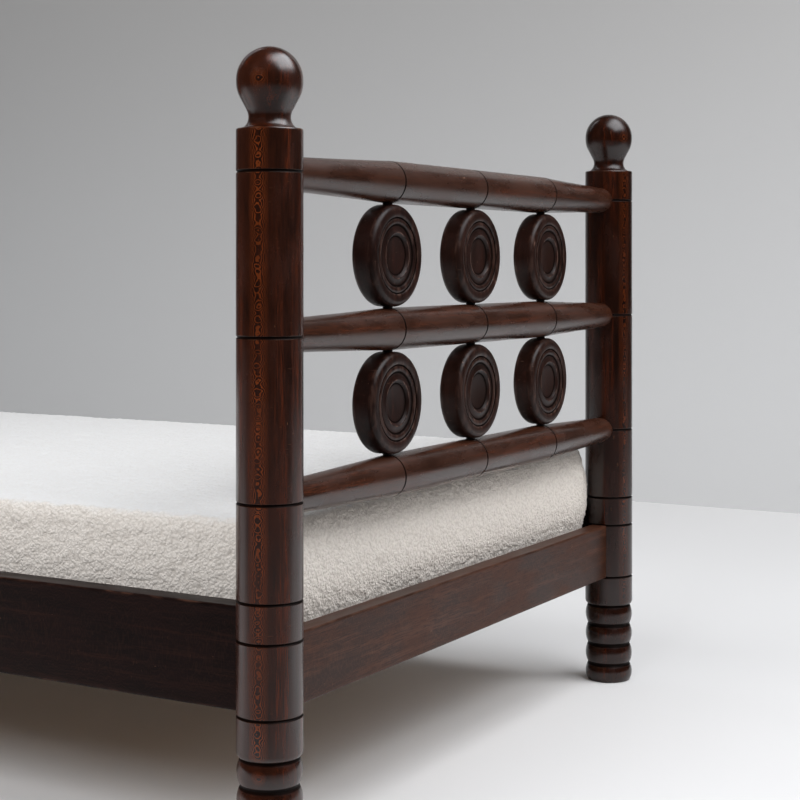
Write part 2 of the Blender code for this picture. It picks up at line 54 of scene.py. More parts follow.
MATTRESS_BODY = "mattress"
ENDS = {"right": 1, "left": -1}
FACES = {"front": -1, "back": 1}

# %% [markdown]
# ## Where things are
#
# A dresser should never guess a place that the frame already knows. The posts, rails and boards say where
# the grooves, sockets and faces lie, so their boxes are read once and the turned outlines are worked out
# from them.

# %% Places read from the frame
post_low, post_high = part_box("post_right_front")
POST_RADIUS = (post_high.x - post_low.x) / 2
HALF_LENGTH = (post_low.x + post_high.x) / 2
HALF_WIDTH = -(post_low.y + post_high.y) / 2


def middle(node):
    """Centre of a node's box."""
    low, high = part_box(node)
    return (low + high) / 2


RAIL_HEIGHTS = {level: middle(f"rail_right_{level}").z for level in ("top", "middle", "bottom")}
END_BOARD_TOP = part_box("end_board_right")[1].z
side_board_low, side_board_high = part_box("side_board_front")
SIDE_BOARD_TOP = side_board_high.z
BOARD_BOTTOM = side_board_low.z
print("post radius", round(POST_RADIUS, 4), "post axes at", round(HALF_LENGTH, 4), round(HALF_WIDTH, 4))

# %% [markdown]
# ## Camera
#
# The camera stands where the photograph was taken: 0.64 m above the floor, level, with the picture slid
# down so that the posts stay upright. A level camera with a shift keeps vertical lines parallel, as a view
# camera does.

# %% Camera
PICTURE_SIDE = 800
FOCAL_PIXELS = 1672.1
HORIZON_ROW = 265.3
CAMERA_PLACE = (1.9722, -1.9417, 0.6387)
CAMERA_YAW = 29.763
SENSOR = 36.0

camera_data = bpy.data.cameras.new("camera")
camera_data.sensor_width = SENSOR
camera_data.lens = SENSOR * FOCAL_PIXELS / PICTURE_SIDE
camera_data.shift_y = (HORIZON_ROW - PICTURE_SIDE / 2) / PICTURE_SIDE
camera = bpy.data.objects.new("camera", camera_data)
camera.location = CAMERA_PLACE
camera.rotation_euler = (radians(90), 0, radians(CAMERA_YAW))
bpy.context.scene.collection.objects.link(camera)
bpy.context.scene.camera = camera
bpy.context.scene.view_settings.view_transform = "Standard"
print("lens", round(camera_data.lens, 2), "shift", round(camera_data.shift_y, 4))

# %% [markdown]
# ## Node helpers
#
# Every finish and every Geometry Nodes tree below is wired in code. A few short helpers keep that readable:
# one adds a node and feeds its inputs with values or with other nodes' outputs, and the rest each do one
# sum, step, mix, noise or empty finish.

# %% Node helpers


def add_node(tree, kind, inputs=None, **settings):
    """Add a node, set its options, and feed its inputs with plain values or with output sockets."""
    item = tree.nodes.new(kind)
    for name, value in settings.items():
        setattr(item, name, value)
    for key, value in (inputs or {}).items():
        if isinstance(value, bpy.types.NodeSocket):
            tree.links.new(value, item.inputs[key])
        else:
            item.inputs[key].default_value = value
    return item


def maths(tree, operation, first, second=0.0):
    """One sum of two numbers."""
    return add_node(tree, "ShaderNodeMath", {0: first, 1: second}, operation=operation).outputs[0]


def eased_step(tree, value, low, high, least=0.0, most=1.0):
    """Rise smoothly from least to most while the value goes from low to high."""
    step = add_node(tree, "ShaderNodeMapRange", {"Value": value, 1: low, 2: high, 3: least, 4: most},
                    interpolation_type="SMOOTHSTEP")
    return step.outputs[0]


def mixed(tree, share, first, second):
    """Mix two colours."""
    mix = add_node(tree, "ShaderNodeMix", {0: share, 6: first, 7: second}, data_type="RGBA")
    return mix.outputs[2]


def noise(tree, vector, stretch, detail=2.0, distortion=0.0):
    """Noise whose lumps are 1 / stretch metres long on each axis."""
    place = add_node(tree, "ShaderNodeMapping", {"Vector": vector, "Scale": stretch})
    texture = add_node(tree, "ShaderNodeTexNoise", {"Vector": place.outputs[0], "Scale": 1.0,
                                                    "Detail": detail, "Distortion": distortion})
    return texture.outputs[0]


def new_finish(name):
    """An empty Principled material, its tree and its shader."""
    material = bpy.data.materials.new(name)
    material.use_nodes = True
    return material, material.node_tree, material.node_tree.nodes["Principled BSDF"]


# %% [markdown]
# ## Floor, wall and light
#
# The studio is a pale floor, with painted shade that darkens it towards the camera, and a light grey
# backdrop 1.8 m behind the bed, with painted shade that darkens it towards its top. The backdrop is seen
# from its front only, so that views from behind look through it. One large panel with soft edges hangs
# tilted over the right end of the bed, a narrow lamp washes the backdrop, and two fills lift the upright
# faces without showing in the wax. The room stays dark, so that the posts mirror darkness and only their
# tops shine.

# %% Stage
WALL_PLACE = 2.3
STAGE_REACH = 9.0
WALL_HEIGHT = 3.2
WALL_ENDS = (-6.0, 1.3)
WALL_PALE = (0.63, 0.625, 0.617, 1)
WALL_PAINTED_SHADE = (0.375, 0.362, 0.348, 1)
FLOOR_PALE = (0.725, 0.712, 0.70, 1)
FLOOR_PAINTED_SHADE = (0.20, 0.197, 0.194, 1)
FLOOR_EDGE = 0.68
FLOOR_FADE = 0.8


def stage_sheet(name, corners):
    """A flat dull sheet of the studio, marked as stage, with its tree and shader."""
    mesh = bpy.data.meshes.new(name)
    mesh.from_pydata(corners, [], [(0, 1, 2, 3)])
    material, tree, shader = new_finish(name)
    shader.inputs["Roughness"].default_value = 0.9
    shader.inputs["Specular IOR Level"].default_value = 0.1
    mesh.materials.append(material)
    sheet = bpy.data.objects.new(name, mesh)
    bpy.context.scene.collection.objects.link(sheet)
    return tree, shader


def sheet_place(tree):
    """Where a point of a sheet lies."""
    place = add_node(tree, "ShaderNodeTexCoord").outputs["Object"]
    return add_node(tree, "ShaderNodeSeparateXYZ", {0: place}).outputs


far = STAGE_REACH
tree, shader = stage_sheet("floor", [(-far, -far, 0), (far, -far, 0), (far, far, 0), (-far, far, 0)])
place = sheet_place(tree)
forward = maths(tree, "SUBTRACT", maths(tree, "MULTIPLY", place["X"], sin(radians(CAMERA_YAW))),
                maths(tree, "MULTIPLY", place["Y"], cos(radians(CAMERA_YAW))))
# Painted shade: the floor darkens towards the camera, from FLOOR_EDGE over FLOOR_FADE metres.
painted_floor_shade = eased_step(tree, forward, FLOOR_EDGE, FLOOR_EDGE + FLOOR_FADE)
tree.links.new(mixed(tree, painted_floor_shade, FLOOR_PALE, FLOOR_PAINTED_SHADE), shader.inputs["Base Color"])

left, right = WALL_ENDS
tree, shader = stage_sheet("wall", [(left, WALL_PLACE, 0), (right, WALL_PLACE, 0),
                                    (right, WALL_PLACE, WALL_HEIGHT), (left, WALL_PLACE, WALL_HEIGHT)])
# Painted shade: the backdrop darkens towards its top.
darker = eased_step(tree, sheet_place(tree)["Z"], 0.1, 2.0)
tree.links.new(mixed(tree, darker, WALL_PALE, WALL_PAINTED_SHADE), shader.inputs["Base Color"])
behind = add_node(tree, "ShaderNodeNewGeometry").outputs["Backfacing"]
clear = add_node(tree, "ShaderNodeBsdfTransparent").outputs[0]
one_sided = add_node(tree, "ShaderNodeMixShader", {0: behind, 1: shader.outputs[0], 2: clear})
tree.links.new(one_sided.outputs[0], tree.nodes["Material Output"].inputs["Surface"])
print("stage: a floor and a wall from", left, "to", right)

# %% Lamps
ROOM_LEVEL = 0.035


def soft_lamp(name, place, turn, size, power):
    """A rectangular soft lamp, facing straight down before its turn."""
    data = bpy.data.lights.new(name, "AREA")
    data.shape = "RECTANGLE"
    data.size, data.size_y = size
    data.energy = power
    data.color = (0.975, 1.0, 1.04)
    lamp = bpy.data.objects.new(name, data)
    lamp.location = place
    lamp.rotation_euler = [radians(angle) for angle in turn]
    bpy.context.scene.collection.objects.link(lamp)
    return lamp


def soften_edges(lamp, share):
    """Let a lamp fade out over a share of its width on every side."""
    lamp.data.use_nodes = True
    tree = lamp.data.node_tree
    place = add_node(tree, "ShaderNodeNewGeometry").outputs["Parametric"]
    across = add_node(tree, "ShaderNodeSeparateXYZ", {0: place})
    level = 1.0
    for axis in ("X", "Y"):
        from_middle = maths(tree, "ABSOLUTE", maths(tree, "SUBTRACT", across.outputs[axis], 0.5))
        level = maths(tree, "MULTIPLY", level, eased_step(tree, from_middle, 0.5 - share, 0.5, 1.0, 0.0))
    tree.links.new(level, tree.nodes["Emission"].inputs["Strength"])


panel = soft_lamp("panel", (2.4, 0.3, 2.9), (0, 25, 0), (3.4, 4.0), 222)
soften_edges(panel, 0.3)
wall_wash = soft_lamp("wall_wash", (-2.2, 1.0, 2.9), (30, 0, 0), (3.4, 0.7), 12)
fills = [soft_lamp("fill_front", (-0.3, -2.8, 2.6), (48, 0, -10), (4.0, 2.0), 108),
         soft_lamp("fill_right", (3.6, 0.3, 2.3), (0, 55, 0), (2.0, 3.6), 29)]
for fill in fills:
    fill.visible_glossy = False
room = bpy.data.worlds.new("room")
room.use_nodes = True
room.node_tree.nodes["Background"].inputs["Color"].default_value = (1, 1, 1, 1)
room.node_tree.nodes["Background"].inputs["Strength"].default_value = ROOM_LEVEL
bpy.context.scene.world = room
print("lamps:", panel.name, wall_wash.name, [fill.name for fill in fills])

# %% [markdown]
# ## The wood finish
#
# Dark stain and wax cover a close-grained wood. Where the lathe cut runs along the growth rings, the rings
# open into a chain of small orange eyes; elsewhere they are fine lines. A flat picture could not follow the
# turning, so the rings are drawn in the solid: each piece carries its own "grain" coordinates, with Z along
# the fibres, and the distance from a pith off the middle gives the ring that each point lies on. Two more
# attributes come from the outline itself: one on proud edges, where stain rubs off and where the roundels
# get painted highlights along their rings, and one in grooves, where wax gathers and painted shade makes
# the cut nearly black. Posts also get painted light, lighter towards one side.

# %% Waxed wood
PITH_DISTANCE = 0.06
RING_SPACING = 0.00019
RING_WANDER = 0.0011
BUMP_DEPTH = 0.0003


def piece_attribute(tree, name):
    """Read an attribute of the piece."""
    return add_node(tree, "ShaderNodeAttribute", attribute_name=name)


def growth_rings(tree, grain):
    """Light lines of the growth rings, 0 to 1, wandering along the fibres."""
    wander = maths(tree, "SUBTRACT", noise(tree, grain, (50, 50, 125), detail=1.5), 0.5)
    pith = add_node(tree, "ShaderNodeVectorMath", {0: grain, 1: (PITH_DISTANCE, 0, 0)}, operation="ADD")
    across = add_node(tree, "ShaderNodeVectorMath", {0: pith.outputs[0], 1: (1, 1, 0)}, operation="MULTIPLY")
    length = add_node(tree, "ShaderNodeVectorMath", {0: across.outputs[0]}, operation="LENGTH")
    distance = length.outputs["Value"]
    ring = maths(tree, "ADD", distance, maths(tree, "MULTIPLY", wander, RING_WANDER))
    wave = maths(tree, "SINE", maths(tree, "MULTIPLY", ring, 2 * pi / RING_SPACING))
    return eased_step(tree, wave, 0.0, 0.9)


def toned(stain, tone):
    """A stain made lighter or darker."""
    return {part: tuple(level * tone for level in colour[:3]) + (1,) for part, colour in stain.items()}


def waxed_wood(name, stain, roughness, figure_from, figure_to, figure_share=1.0, gloss=0.5, painted_side_light=0.0):
    """Stained and waxed wood in the five colours of a stain, with painted light that makes it lighter towards
    one side.
    """
    material, tree, shader = new_finish(name)
    grain = piece_attribute(tree, "grain").outputs["Vector"]
    split = add_node(tree, "ShaderNodeSeparateXYZ", {0: grain}).outputs
    fibre = noise(tree, grain, (900, 900, 45), detail=3.0)
    cloud = noise(tree, grain, (38, 38, 12), detail=4.0)
    streak = noise(tree, grain, (130, 130, 5), detail=4.0)
    rings = growth_rings(tree, grain)
    shade = maths(tree, "ADD", maths(tree, "MULTIPLY", cloud, 0.55), maths(tree, "MULTIPLY", fibre, 0.45))
    # Painted light: the shade value rises towards one side of the piece.
    painted_side_shift = maths(tree, "SUBTRACT", maths(tree, "MULTIPLY", split[0], 0.82 * painted_side_light),
                   maths(tree, "MULTIPLY", split[1], 0.57 * painted_side_light))
    shade = maths(tree, "ADD", shade, painted_side_shift)
    colour = mixed(tree, eased_step(tree, shade, 0.38, 0.64), stain["dark"], stain["mid"])
    flecks = maths(tree, "MULTIPLY", eased_step(tree, streak, 0.47, 0.72),
                   eased_step(tree, fibre, 0.32, 0.62))
    colour = mixed(tree, flecks, colour, stain["streak"])
    facing = eased_step(tree, split[0], figure_from, figure_to)
    patchy = eased_step(tree, noise(tree, grain, (12, 12, 24), detail=1.0), 0.34, 0.60, 0.6, 1.0)
    figure = maths(tree, "MULTIPLY", maths(tree, "MULTIPLY", facing, patchy), figure_share)
    colour = mixed(tree, maths(tree, "MULTIPLY", figure, 0.6), colour, stain["dark"])
    lines = maths(tree, "MULTIPLY", rings, maths(tree, "ADD", maths(tree, "MULTIPLY", figure, 0.85), 0.04))
    colour = mixed(tree, lines, colour, stain["figure"])
    chips = eased_step(tree, noise(tree, grain, (210, 210, 75), detail=1.0), 0.77, 0.80, 0.0, 0.7)
    scratches = eased_step(tree, noise(tree, grain, (120, 120, 1100), detail=0.0), 0.80, 0.84, 0.0, 0.35)
    scuffs = maths(tree, "MAXIMUM", chips, scratches)
    # Worn proud edges take the bare colour; on the roundels that colour is a painted highlight along the ring
    # edges.
    worn = piece_attribute(tree, "worn").outputs["Fac"]
    rubbed = eased_step(tree, noise(tree, grain, (160, 160, 40), detail=3.0), 0.44, 0.66)
    bare_and_glint = maths(tree, "MULTIPLY", maths(tree, "MULTIPLY", worn, rubbed), 0.55)
    colour = mixed(tree, maths(tree, "MAXIMUM", bare_and_glint, scuffs), colour, stain["bare_and_glint"])
    # Painted shade: grooves are darkened almost to black, for dark wax and for the shade inside the cut.
    wax_and_shade = piece_attribute(tree, "wax_and_shade").outputs["Fac"]
    colour = mixed(tree, maths(tree, "MULTIPLY", wax_and_shade, 0.9), colour, (0.003, 0.0020, 0.0016, 1))
    tree.links.new(colour, shader.inputs["Base Color"])
    rough = eased_step(tree, cloud, 0.3, 0.7, roughness - 0.05, roughness + 0.09)
    rough = maths(tree, "ADD", rough, maths(tree, "MULTIPLY", wax_and_shade, 0.25))
    tree.links.new(rough, shader.inputs["Roughness"])
    tree.links.new(eased_step(tree, wax_and_shade, 0.0, 0.8, gloss, gloss * 0.1), shader.inputs["Specular IOR Level"])
    bump = add_node(tree, "ShaderNodeBump", {"Height": fibre, "Strength": 0.2, "Distance": BUMP_DEPTH})
    tree.links.new(bump.outputs[0], shader.inputs["Normal"])
    return material


POST_STAIN = {"dark": (0.0095, 0.0021, 0.0007, 1), "mid": (0.031, 0.0062, 0.0017, 1),
              "streak": (0.085, 0.0150, 0.0033, 1), "figure": (0.195, 0.0390, 0.0072, 1),
              "bare_and_glint": (0.120, 0.0520, 0.0260, 1)}
RAIL_STAIN = {"dark": (0.024, 0.0080, 0.0042, 1), "mid": (0.048, 0.0165, 0.0086, 1),
              "streak": (0.074, 0.0200, 0.0084, 1), "figure": (0.120, 0.0420, 0.0160, 1),
              "bare_and_glint": (0.120, 0.0640, 0.0400, 1)}
# The roundels' bare colour is lightened into painted highlights, glints along their ring edges, besides wear.
ROUNDEL_STAIN = {"dark": (0.008, 0.0026, 0.0017, 1), "mid": (0.019, 0.0060, 0.0040, 1),
                 "streak": (0.030, 0.0086, 0.0052, 1), "figure": (0.050, 0.0190, 0.0100, 1),
                 "bare_and_glint": (0.200, 0.1100, 0.0820, 1)}
# Painted light: the end boards are stained much lighter than the side boards of the same wood, a lit and a
# shaded copy.
END_BOARD_LIT_STAIN = {"dark": (0.022, 0.0068, 0.0032, 1), "mid": (0.058, 0.0205, 0.0110, 1),
                   "streak": (0.082, 0.0290, 0.0150, 1), "figure": (0.100, 0.0380, 0.0180, 1),
                   "bare_and_glint": (0.130, 0.0620, 0.0400, 1)}
SIDE_BOARD_SHADED_STAIN = {"dark": (0.0056, 0.0024, 0.0021, 1), "mid": (0.012, 0.0050, 0.0044, 1),
                    "streak": (0.024, 0.0088, 0.0060, 1), "figure": (0.036, 0.0150, 0.0090, 1),
                    "bare_and_glint": (0.110, 0.0480, 0.0300, 1)}
post_wood = waxed_wood("post_wood", POST_STAIN, 0.22, 0.0338, 0.0357, gloss=0.75, painted_side_light=3.0)
# Painted shade: the back posts use a darker copy of the post finish.
shaded_post_wood = waxed_wood("shaded_post_wood", toned(POST_STAIN, 0.48), 0.22, 0.0338, 0.0357, gloss=0.50,
                            painted_side_light=1.5)
rail_wood = waxed_wood("rail_wood", RAIL_STAIN, 0.25, 0.0220, 0.0246, figure_share=0.35, gloss=0.62)
roundel_wood = waxed_wood("roundel_wood", ROUNDEL_STAIN, 0.33, 0.0480, 0.0600, figure_share=0.3, gloss=0.21)
end_board_wood = waxed_wood("end_board_wood", END_BOARD_LIT_STAIN, 0.38, 0.0100, 0.0200, figure_share=0.2,
                            gloss=0.17)
side_board_wood = waxed_wood("side_board_wood", SIDE_BOARD_SHADED_STAIN, 0.42, 0.0100, 0.0200, figure_share=0.2,
                             gloss=0.12)
print("woods:", post_wood.name, rail_wood.name, roundel_wood.name, end_board_wood.name, side_board_wood.name)

# %% [markdown]
# ## The lathe
#
# A turner presses a shaped edge to spinning wood, so each turned piece is an outline and a spin. Blender's
# Screw modifier could spin it, but a Geometry Nodes tree can also carry the wear of the outline round the
# piece and give it grain coordinates. The tree lays the outline's points out as a grid, one column per step
# of the turn, rolls the grid up, welds the seam and the poles, and sets the piece in its place.

# %% Lathe tree


def geometry_tree(name, sockets):
    """An empty Geometry Nodes tree with named inputs, and the nodes at its two ends."""
    tree = bpy.data.node_groups.new(name, "GeometryNodeTree")
    tree.interface.new_socket("Geometry", in_out="OUTPUT", socket_type="NodeSocketGeometry")
    tree.interface.new_socket("Geometry", in_out="INPUT", socket_type="NodeSocketGeometry")
    for label, kind in sockets.items():
        tree.interface.new_socket(label, in_out="INPUT", socket_type=f"NodeSocket{kind}")
    return tree, tree.nodes.new("NodeGroupInput").outputs, tree.nodes.new("NodeGroupOutput").inputs


def coat(tree, geometry, given, result):
    """End a tree: make its copies real, give them their finish and hand the mesh on."""
    real = add_node(tree, "GeometryNodeRealizeInstances", {"Geometry": geometry})
    coated = add_node(tree, "GeometryNodeSetMaterial", {"Geometry": real.outputs[0],
                                                        "Material": given["Finish"]})
    tree.links.new(coated.outputs[0], result[0])


def rotated(tree, vector, turn):
    """Turn a vector by Euler angles."""
    spin = add_node(tree, "ShaderNodeVectorRotate", {"Vector": vector, "Rotation": turn},
                    rotation_type="EULER_XYZ")
    return spin.outputs[0]


def lathe_tree():
    """Spin an outline about Z, store wear and grain on it, and lay the piece in its place."""
    tree, given, result = geometry_tree("lathe", {"Steps": "Int", "Lay": "Vector", "Place": "Vector",
                                                  "Grain Lay": "Vector", "Grain Shift": "Vector",
                                                  "Finish": "Material"})
    size = add_node(tree, "GeometryNodeAttributeDomainSize", {"Geometry": given["Geometry"]})
    count = size.outputs["Point Count"]
    grid = add_node(tree, "GeometryNodeMeshGrid", {"Vertices X": maths(tree, "ADD", given["Steps"], 1),
                                                   "Vertices Y": count})
    index = add_node(tree, "GeometryNodeInputIndex").outputs[0]
    column = add_node(tree, "FunctionNodeIntegerMath", {0: index, 1: count}, operation="DIVIDE_FLOOR")
    row = add_node(tree, "FunctionNodeIntegerMath", {0: index, 1: count}, operation="MODULO").outputs[0]
    angle = maths(tree, "DIVIDE", maths(tree, "MULTIPLY", column.outputs[0], 2 * pi), given["Steps"])
    position = add_node(tree, "GeometryNodeInputPosition").outputs[0]
    outline = add_node(tree, "GeometryNodeSampleIndex", {"Geometry": given["Geometry"], "Value": position,
                                                         "Index": row}, data_type="FLOAT_VECTOR")
    turned = add_node(tree, "ShaderNodeVectorRotate", {"Vector": outline.outputs[0], "Angle": angle},
                      rotation_type="Z_AXIS").outputs[0]
    shape = add_node(tree, "GeometryNodeSetPosition", {"Geometry": grid.outputs["Mesh"], "Position": turned})
    shape = shape.outputs[0]
    for label in ("worn", "wax_and_shade"):
        named = add_node(tree, "GeometryNodeInputNamedAttribute", {"Name": label}, data_type="FLOAT")
        sample = add_node(tree, "GeometryNodeSampleIndex", {"Geometry": given["Geometry"],
                                                            "Value": named.outputs[0], "Index": row},
                          data_type="FLOAT")
        store = add_node(tree, "GeometryNodeStoreNamedAttribute", {"Geometry": shape, "Name": label,
                                                                   "Value": sample.outputs[0]},
                         data_type="FLOAT")
        shape = store.outputs[0]
    grain = add_node(tree, "ShaderNodeVectorMath", {0: rotated(tree, position, given["Grain Lay"]),
                                                    1: given["Grain Shift"]}, operation="ADD").outputs[0]
    store = add_node(tree, "GeometryNodeStoreNamedAttribute", {"Geometry": shape, "Name": "grain",
                                                               "Value": grain}, data_type="FLOAT_VECTOR")
    weld = add_node(tree, "GeometryNodeMergeByDistance", {"Geometry": store.outputs[0], "Distance": 1e-6})
    lay = add_node(tree, "GeometryNodeTransform", {"Geometry": weld.outputs[0], "Translation": given["Place"],
                                                   "Rotation": given["Lay"]})
    smooth = add_node(tree, "GeometryNodeSetShadeSmooth", {"Geometry": lay.outputs[0]})
    coat(tree, smooth.outputs[0], given, result)
    return tree


LATHE = lathe_tree()
print("lathe inputs:", [item.name for item in LATHE.interface.items_tree if item.in_out == "INPUT"])

# %% Run a tree on a mesh


def made_by(tree, source, name, values):
    """Run a tree on a mesh with the given inputs, and return the result as a plain object at the origin."""
    worker = bpy.data.objects.new(name + "_worker", source)
    bpy.context.scene.collection.objects.link(worker)
    modifier = worker.modifiers.new("tree", "NODES")
    modifier.node_group = tree
    for item in tree.interface.items_tree:
        if item.name in values:
            modifier[item.identifier] = values[item.name]
    graph = bpy.context.evaluated_depsgraph_get()
    mesh = bpy.data.meshes.new_from_object(worker.evaluated_get(graph))
    bpy.data.objects.remove(worker)
    mesh.name = name
    piece = bpy.data.objects.new(name, mesh)
    bpy.context.scene.collection.objects.link(piece)
    return piece


# %% [markdown]
# ## Outlines
#
# An outline is a short list of arcs and corners in radius and height. Real corners are never sharp: each
# one is cut back a little and rounded, with a support point on either side so that smooth shading stays
# tight there. How hard the outline turns at a point then says how much it is worn. A cut is darkened as
# far as its lips, for dark wax and as painted shade.

# %% Outline helpers
WEAR_BEND = 500.0
# How far dark wax and painted shade reach from the bottom of a cut.
WAX_AND_SHADE_REACH = 0.0009


def arc(centre, radius, start, end, steps):
    """Points of a circular arc, angles in degrees, both ends included."""
    turn = [radians(start + (end - start) * step / steps) for step in range(steps + 1)]
    return [(centre[0] + radius * cos(angle), centre[1] + radius * sin(angle), 0.0) for angle in turn]


def eased(corners, steps=3):
    """Round each corner (across, along, cut) by its cut, and add a support point on either side of it."""
    points = []
    for index, (across, along, cut) in enumerate(corners):
        here = Vector((across, along))
        if cut == 0 or index in (0, len(corners) - 1):
            points.append(here)
            continue
        before = Vector(corners[index - 1][:2]) - here
        after = Vector(corners[index + 1][:2]) - here
        cut = min(cut, before.length * 0.45, after.length * 0.45)
        start = here + before.normalized() * cut
        end = here + after.normalized() * cut
        points.append(start + before.normalized() * min(cut, (before.length - cut) * 0.4))
        for step in range(steps + 1):
            share = step / steps
            points.append(start.lerp(here, share).lerp(here.lerp(end, share), share))
        points.append(end + after.normalized() * min(cut, (after.length - cut) * 0.4))
    return points


def outline_mesh(name, points, wax_and_shade_reach=WAX_AND_SHADE_REACH):
    """The outline as a chain of edges in the XZ plane, with wear, and dark wax with painted shade, from how
    hard it turns.
    """
    mesh = bpy.data.meshes.new(name)
    mesh.from_pydata([(across, 0, along) for across, along in points],
                     [(index, index + 1) for index in range(len(points) - 1)], [])
    bends = [0.0] * len(points)
    for index in range(1, len(points) - 1):
        before = points[index] - points[index - 1]
        after = points[index + 1] - points[index]
        reach = (before.length + after.length) / 2
        bends[index] = atan2(before.cross(after), before.dot(after)) / reach / WEAR_BEND
    worn = mesh.attributes.new("worn", "FLOAT", "POINT")
    wax_and_shade = mesh.attributes.new("wax_and_shade", "FLOAT", "POINT")
    for index, point in enumerate(points):
        near = [bend for bend, other in zip(bends, points) if (other - point).length < wax_and_shade_reach]
        worn.data[index].value = min(1.0, max(0.0, -bends[index]))
        wax_and_shade.data[index].value = min(1.0, max(0.0, *near, 0.0))
    return mesh


def turned_piece(name, points, steps, finish, place, lay=(0, 0, 0), grain_lay=(0, 0, 0),
                 grain_shift=(0, 0, 0), wax_and_shade_reach=WAX_AND_SHADE_REACH):
    """Turn an outline, listed from the top down, into a piece."""
    return made_by(LATHE, outline_mesh(name, points, wax_and_shade_reach), name,
                   {"Steps": steps, "Lay": lay, "Place": place, "Grain Lay": grain_lay,
                    "Grain Shift": grain_shift, "Finish": finish})


def dress(piece, slot, *nodes):
    """Let a piece ride on the bed's frame in place of its nodes."""
    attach(piece, FRAME_BODY)
    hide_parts(*nodes)


# %% [markdown]
# ## Posts
#
# Each post is one turning from ball to foot. The ball runs into its neck through a straight throat and a
# cove, all touching; V cuts mark the height of each rail and board; four beads make the foot. The growth
# figure shows where the turning meets the rings flat on, and each post stood in the tree its own way, so
# each has its own turn. The two back posts get a darker copy of the finish as painted shade, and every
# post has painted light that makes it lighter towards one side.

# %% Post outline
BALL_RADIUS = 0.03575
BALL_BAND = 0.0022
THROAT_ANGLE = 28.0
NECK_COVE = 0.017
NECK_RADIUS = 0.0227
NECK_RISE = 0.012
NECK_SPREAD = 0.0075
SHOULDER_ABOVE_RAIL = 0.046
SHOULDER_CUT = 0.0022
GROOVE_WIDTH = 0.0034
GROOVE_DEPTH = 0.0017
GROOVE_CUT = 0.0005
GROOVE_MARGIN = 0.0006
GROOVE_ABOVE_SIDE_BOARD = 0.009
BEAD_RADIUS = 0.0354
BEAD_COVE = 0.0040
BEAD_HEIGHTS = (0.0303, 0.0303, 0.0303, 0.0262)
LIP_HEIGHT = 0.0064
FOOT_CUT = 0.0015
SHOULDER = RAIL_HEIGHTS["top"] + SHOULDER_ABOVE_RAIL


def finial_outline():
    """Ball, straight throat, neck cove and flared foot, as arcs that touch."""
    throat = radians(THROAT_ANGLE)
    neck_height = SHOULDER + NECK_RISE
    rise = (BALL_RADIUS + NECK_COVE - (NECK_RADIUS + NECK_COVE) * cos(throat)) / sin(throat)
    ball_height = neck_height + rise
    flare = (NECK_RISE ** 2 + NECK_SPREAD ** 2) / (2 * NECK_SPREAD)
    foot = degrees(asin(NECK_RISE / flare))
    crown = arc((0, ball_height + BALL_BAND), BALL_RADIUS, 90, 0, 30)
    ball = arc((0, ball_height), BALL_RADIUS, 0, -THROAT_ANGLE, 10)
    cove = arc((NECK_RADIUS + NECK_COVE, neck_height), NECK_COVE, 180 - THROAT_ANGLE, 180, 8)
    flared = arc((NECK_RADIUS + flare, neck_height), flare, 180, 180 + foot, 8)
    return crown + ball + cove + flared[1:]


def groove(height, radius, width, depth, cut):
    """A V cut with rounded lips, and a plain point close by on either side to end its dark wax and painted
    shade.
    """
    lip = width / 2
    return [(radius, height + lip + GROOVE_MARGIN, 0), (radius, height + lip, cut),
            (radius - depth, height, cut * 0.6), (radius, height - lip, cut),
            (radius, height - lip - GROOVE_MARGIN, 0)]


def foot_outline():
    """The lip of the shaft, the stacked beads and the flat foot."""
    level = sum(BEAD_HEIGHTS)
    cove = BEAD_RADIUS - BEAD_COVE
    lip = [radians(90 * step / 6) for step in range(6)]
    points = [(cove + (POST_RADIUS - cove) * cos(turn), level + LIP_HEIGHT * (1 - sin(turn)), 0.0)
              for turn in lip]
    for height in BEAD_HEIGHTS:
        round_radius = (height ** 2 / 4 + BEAD_COVE ** 2) / (2 * BEAD_COVE)
        half_turn = degrees(asin(height / 2 / round_radius))
        bead = arc((BEAD_RADIUS - round_radius, level - height / 2), round_radius, half_turn, -half_turn, 14)
        points += [(*bead[0][:2], GROOVE_CUT)] + bead[1:-1]
        level -= height
    return points + [(cove, 0, FOOT_CUT), (0, 0, 0)]


def post_outline():
    """The whole post from the crown of the ball to the floor."""
    corners = finial_outline() + [(POST_RADIUS, SHOULDER, SHOULDER_CUT)]
    heights = list(RAIL_HEIGHTS.values()) + [SIDE_BOARD_TOP + GROOVE_ABOVE_SIDE_BOARD, END_BOARD_TOP,
                                             BOARD_BOTTOM]
    for height in sorted(heights, reverse=True):
        corners += groove(height, POST_RADIUS, GROOVE_WIDTH, GROOVE_DEPTH, GROOVE_CUT)
    return eased(corners + foot_outline())


print("post outline:", len(post_outline()), "points")

# %% Turn the posts
POST_STEPS = 96
POST_WAX_AND_SHADE_REACH = GROOVE_WIDTH * 0.62
POST_GRAIN_STEP = 1.7
FIGURE_TURN = {"post_right_front": -75.6, "post_right_back": -26.3, "post_left_front": 150.0,
               "post_left_back": 35.0}

for index, (node, turn) in enumerate(FIGURE_TURN.items()):
    place = middle(node)
    # The back posts take the copy with painted shade.
    finish = shaded_post_wood if node.endswith("back") else post_wood
    post = turned_piece(f"turned_{node}", post_outline(), POST_STEPS, finish, (place.x, place.y, 0.0),
                        grain_lay=(0, 0, radians(-turn)), grain_shift=(0, 0, POST_GRAIN_STEP * index),
                        wax_and_shade_reach=POST_WAX_AND_SHADE_REACH)
    dress(post, "post_wood", node)
print("posts:", len(FIGURE_TURN), "of", len(post.data.polygons), "faces")

# %% [markdown]
# ## Rails
#
# The rails are full between the outer roundels and thin out towards the posts, so that they seat in round
# sockets. Three fine rings are cut where the roundels' dowels go in. The taper starts softly, as a skew
# chisel leaves it.

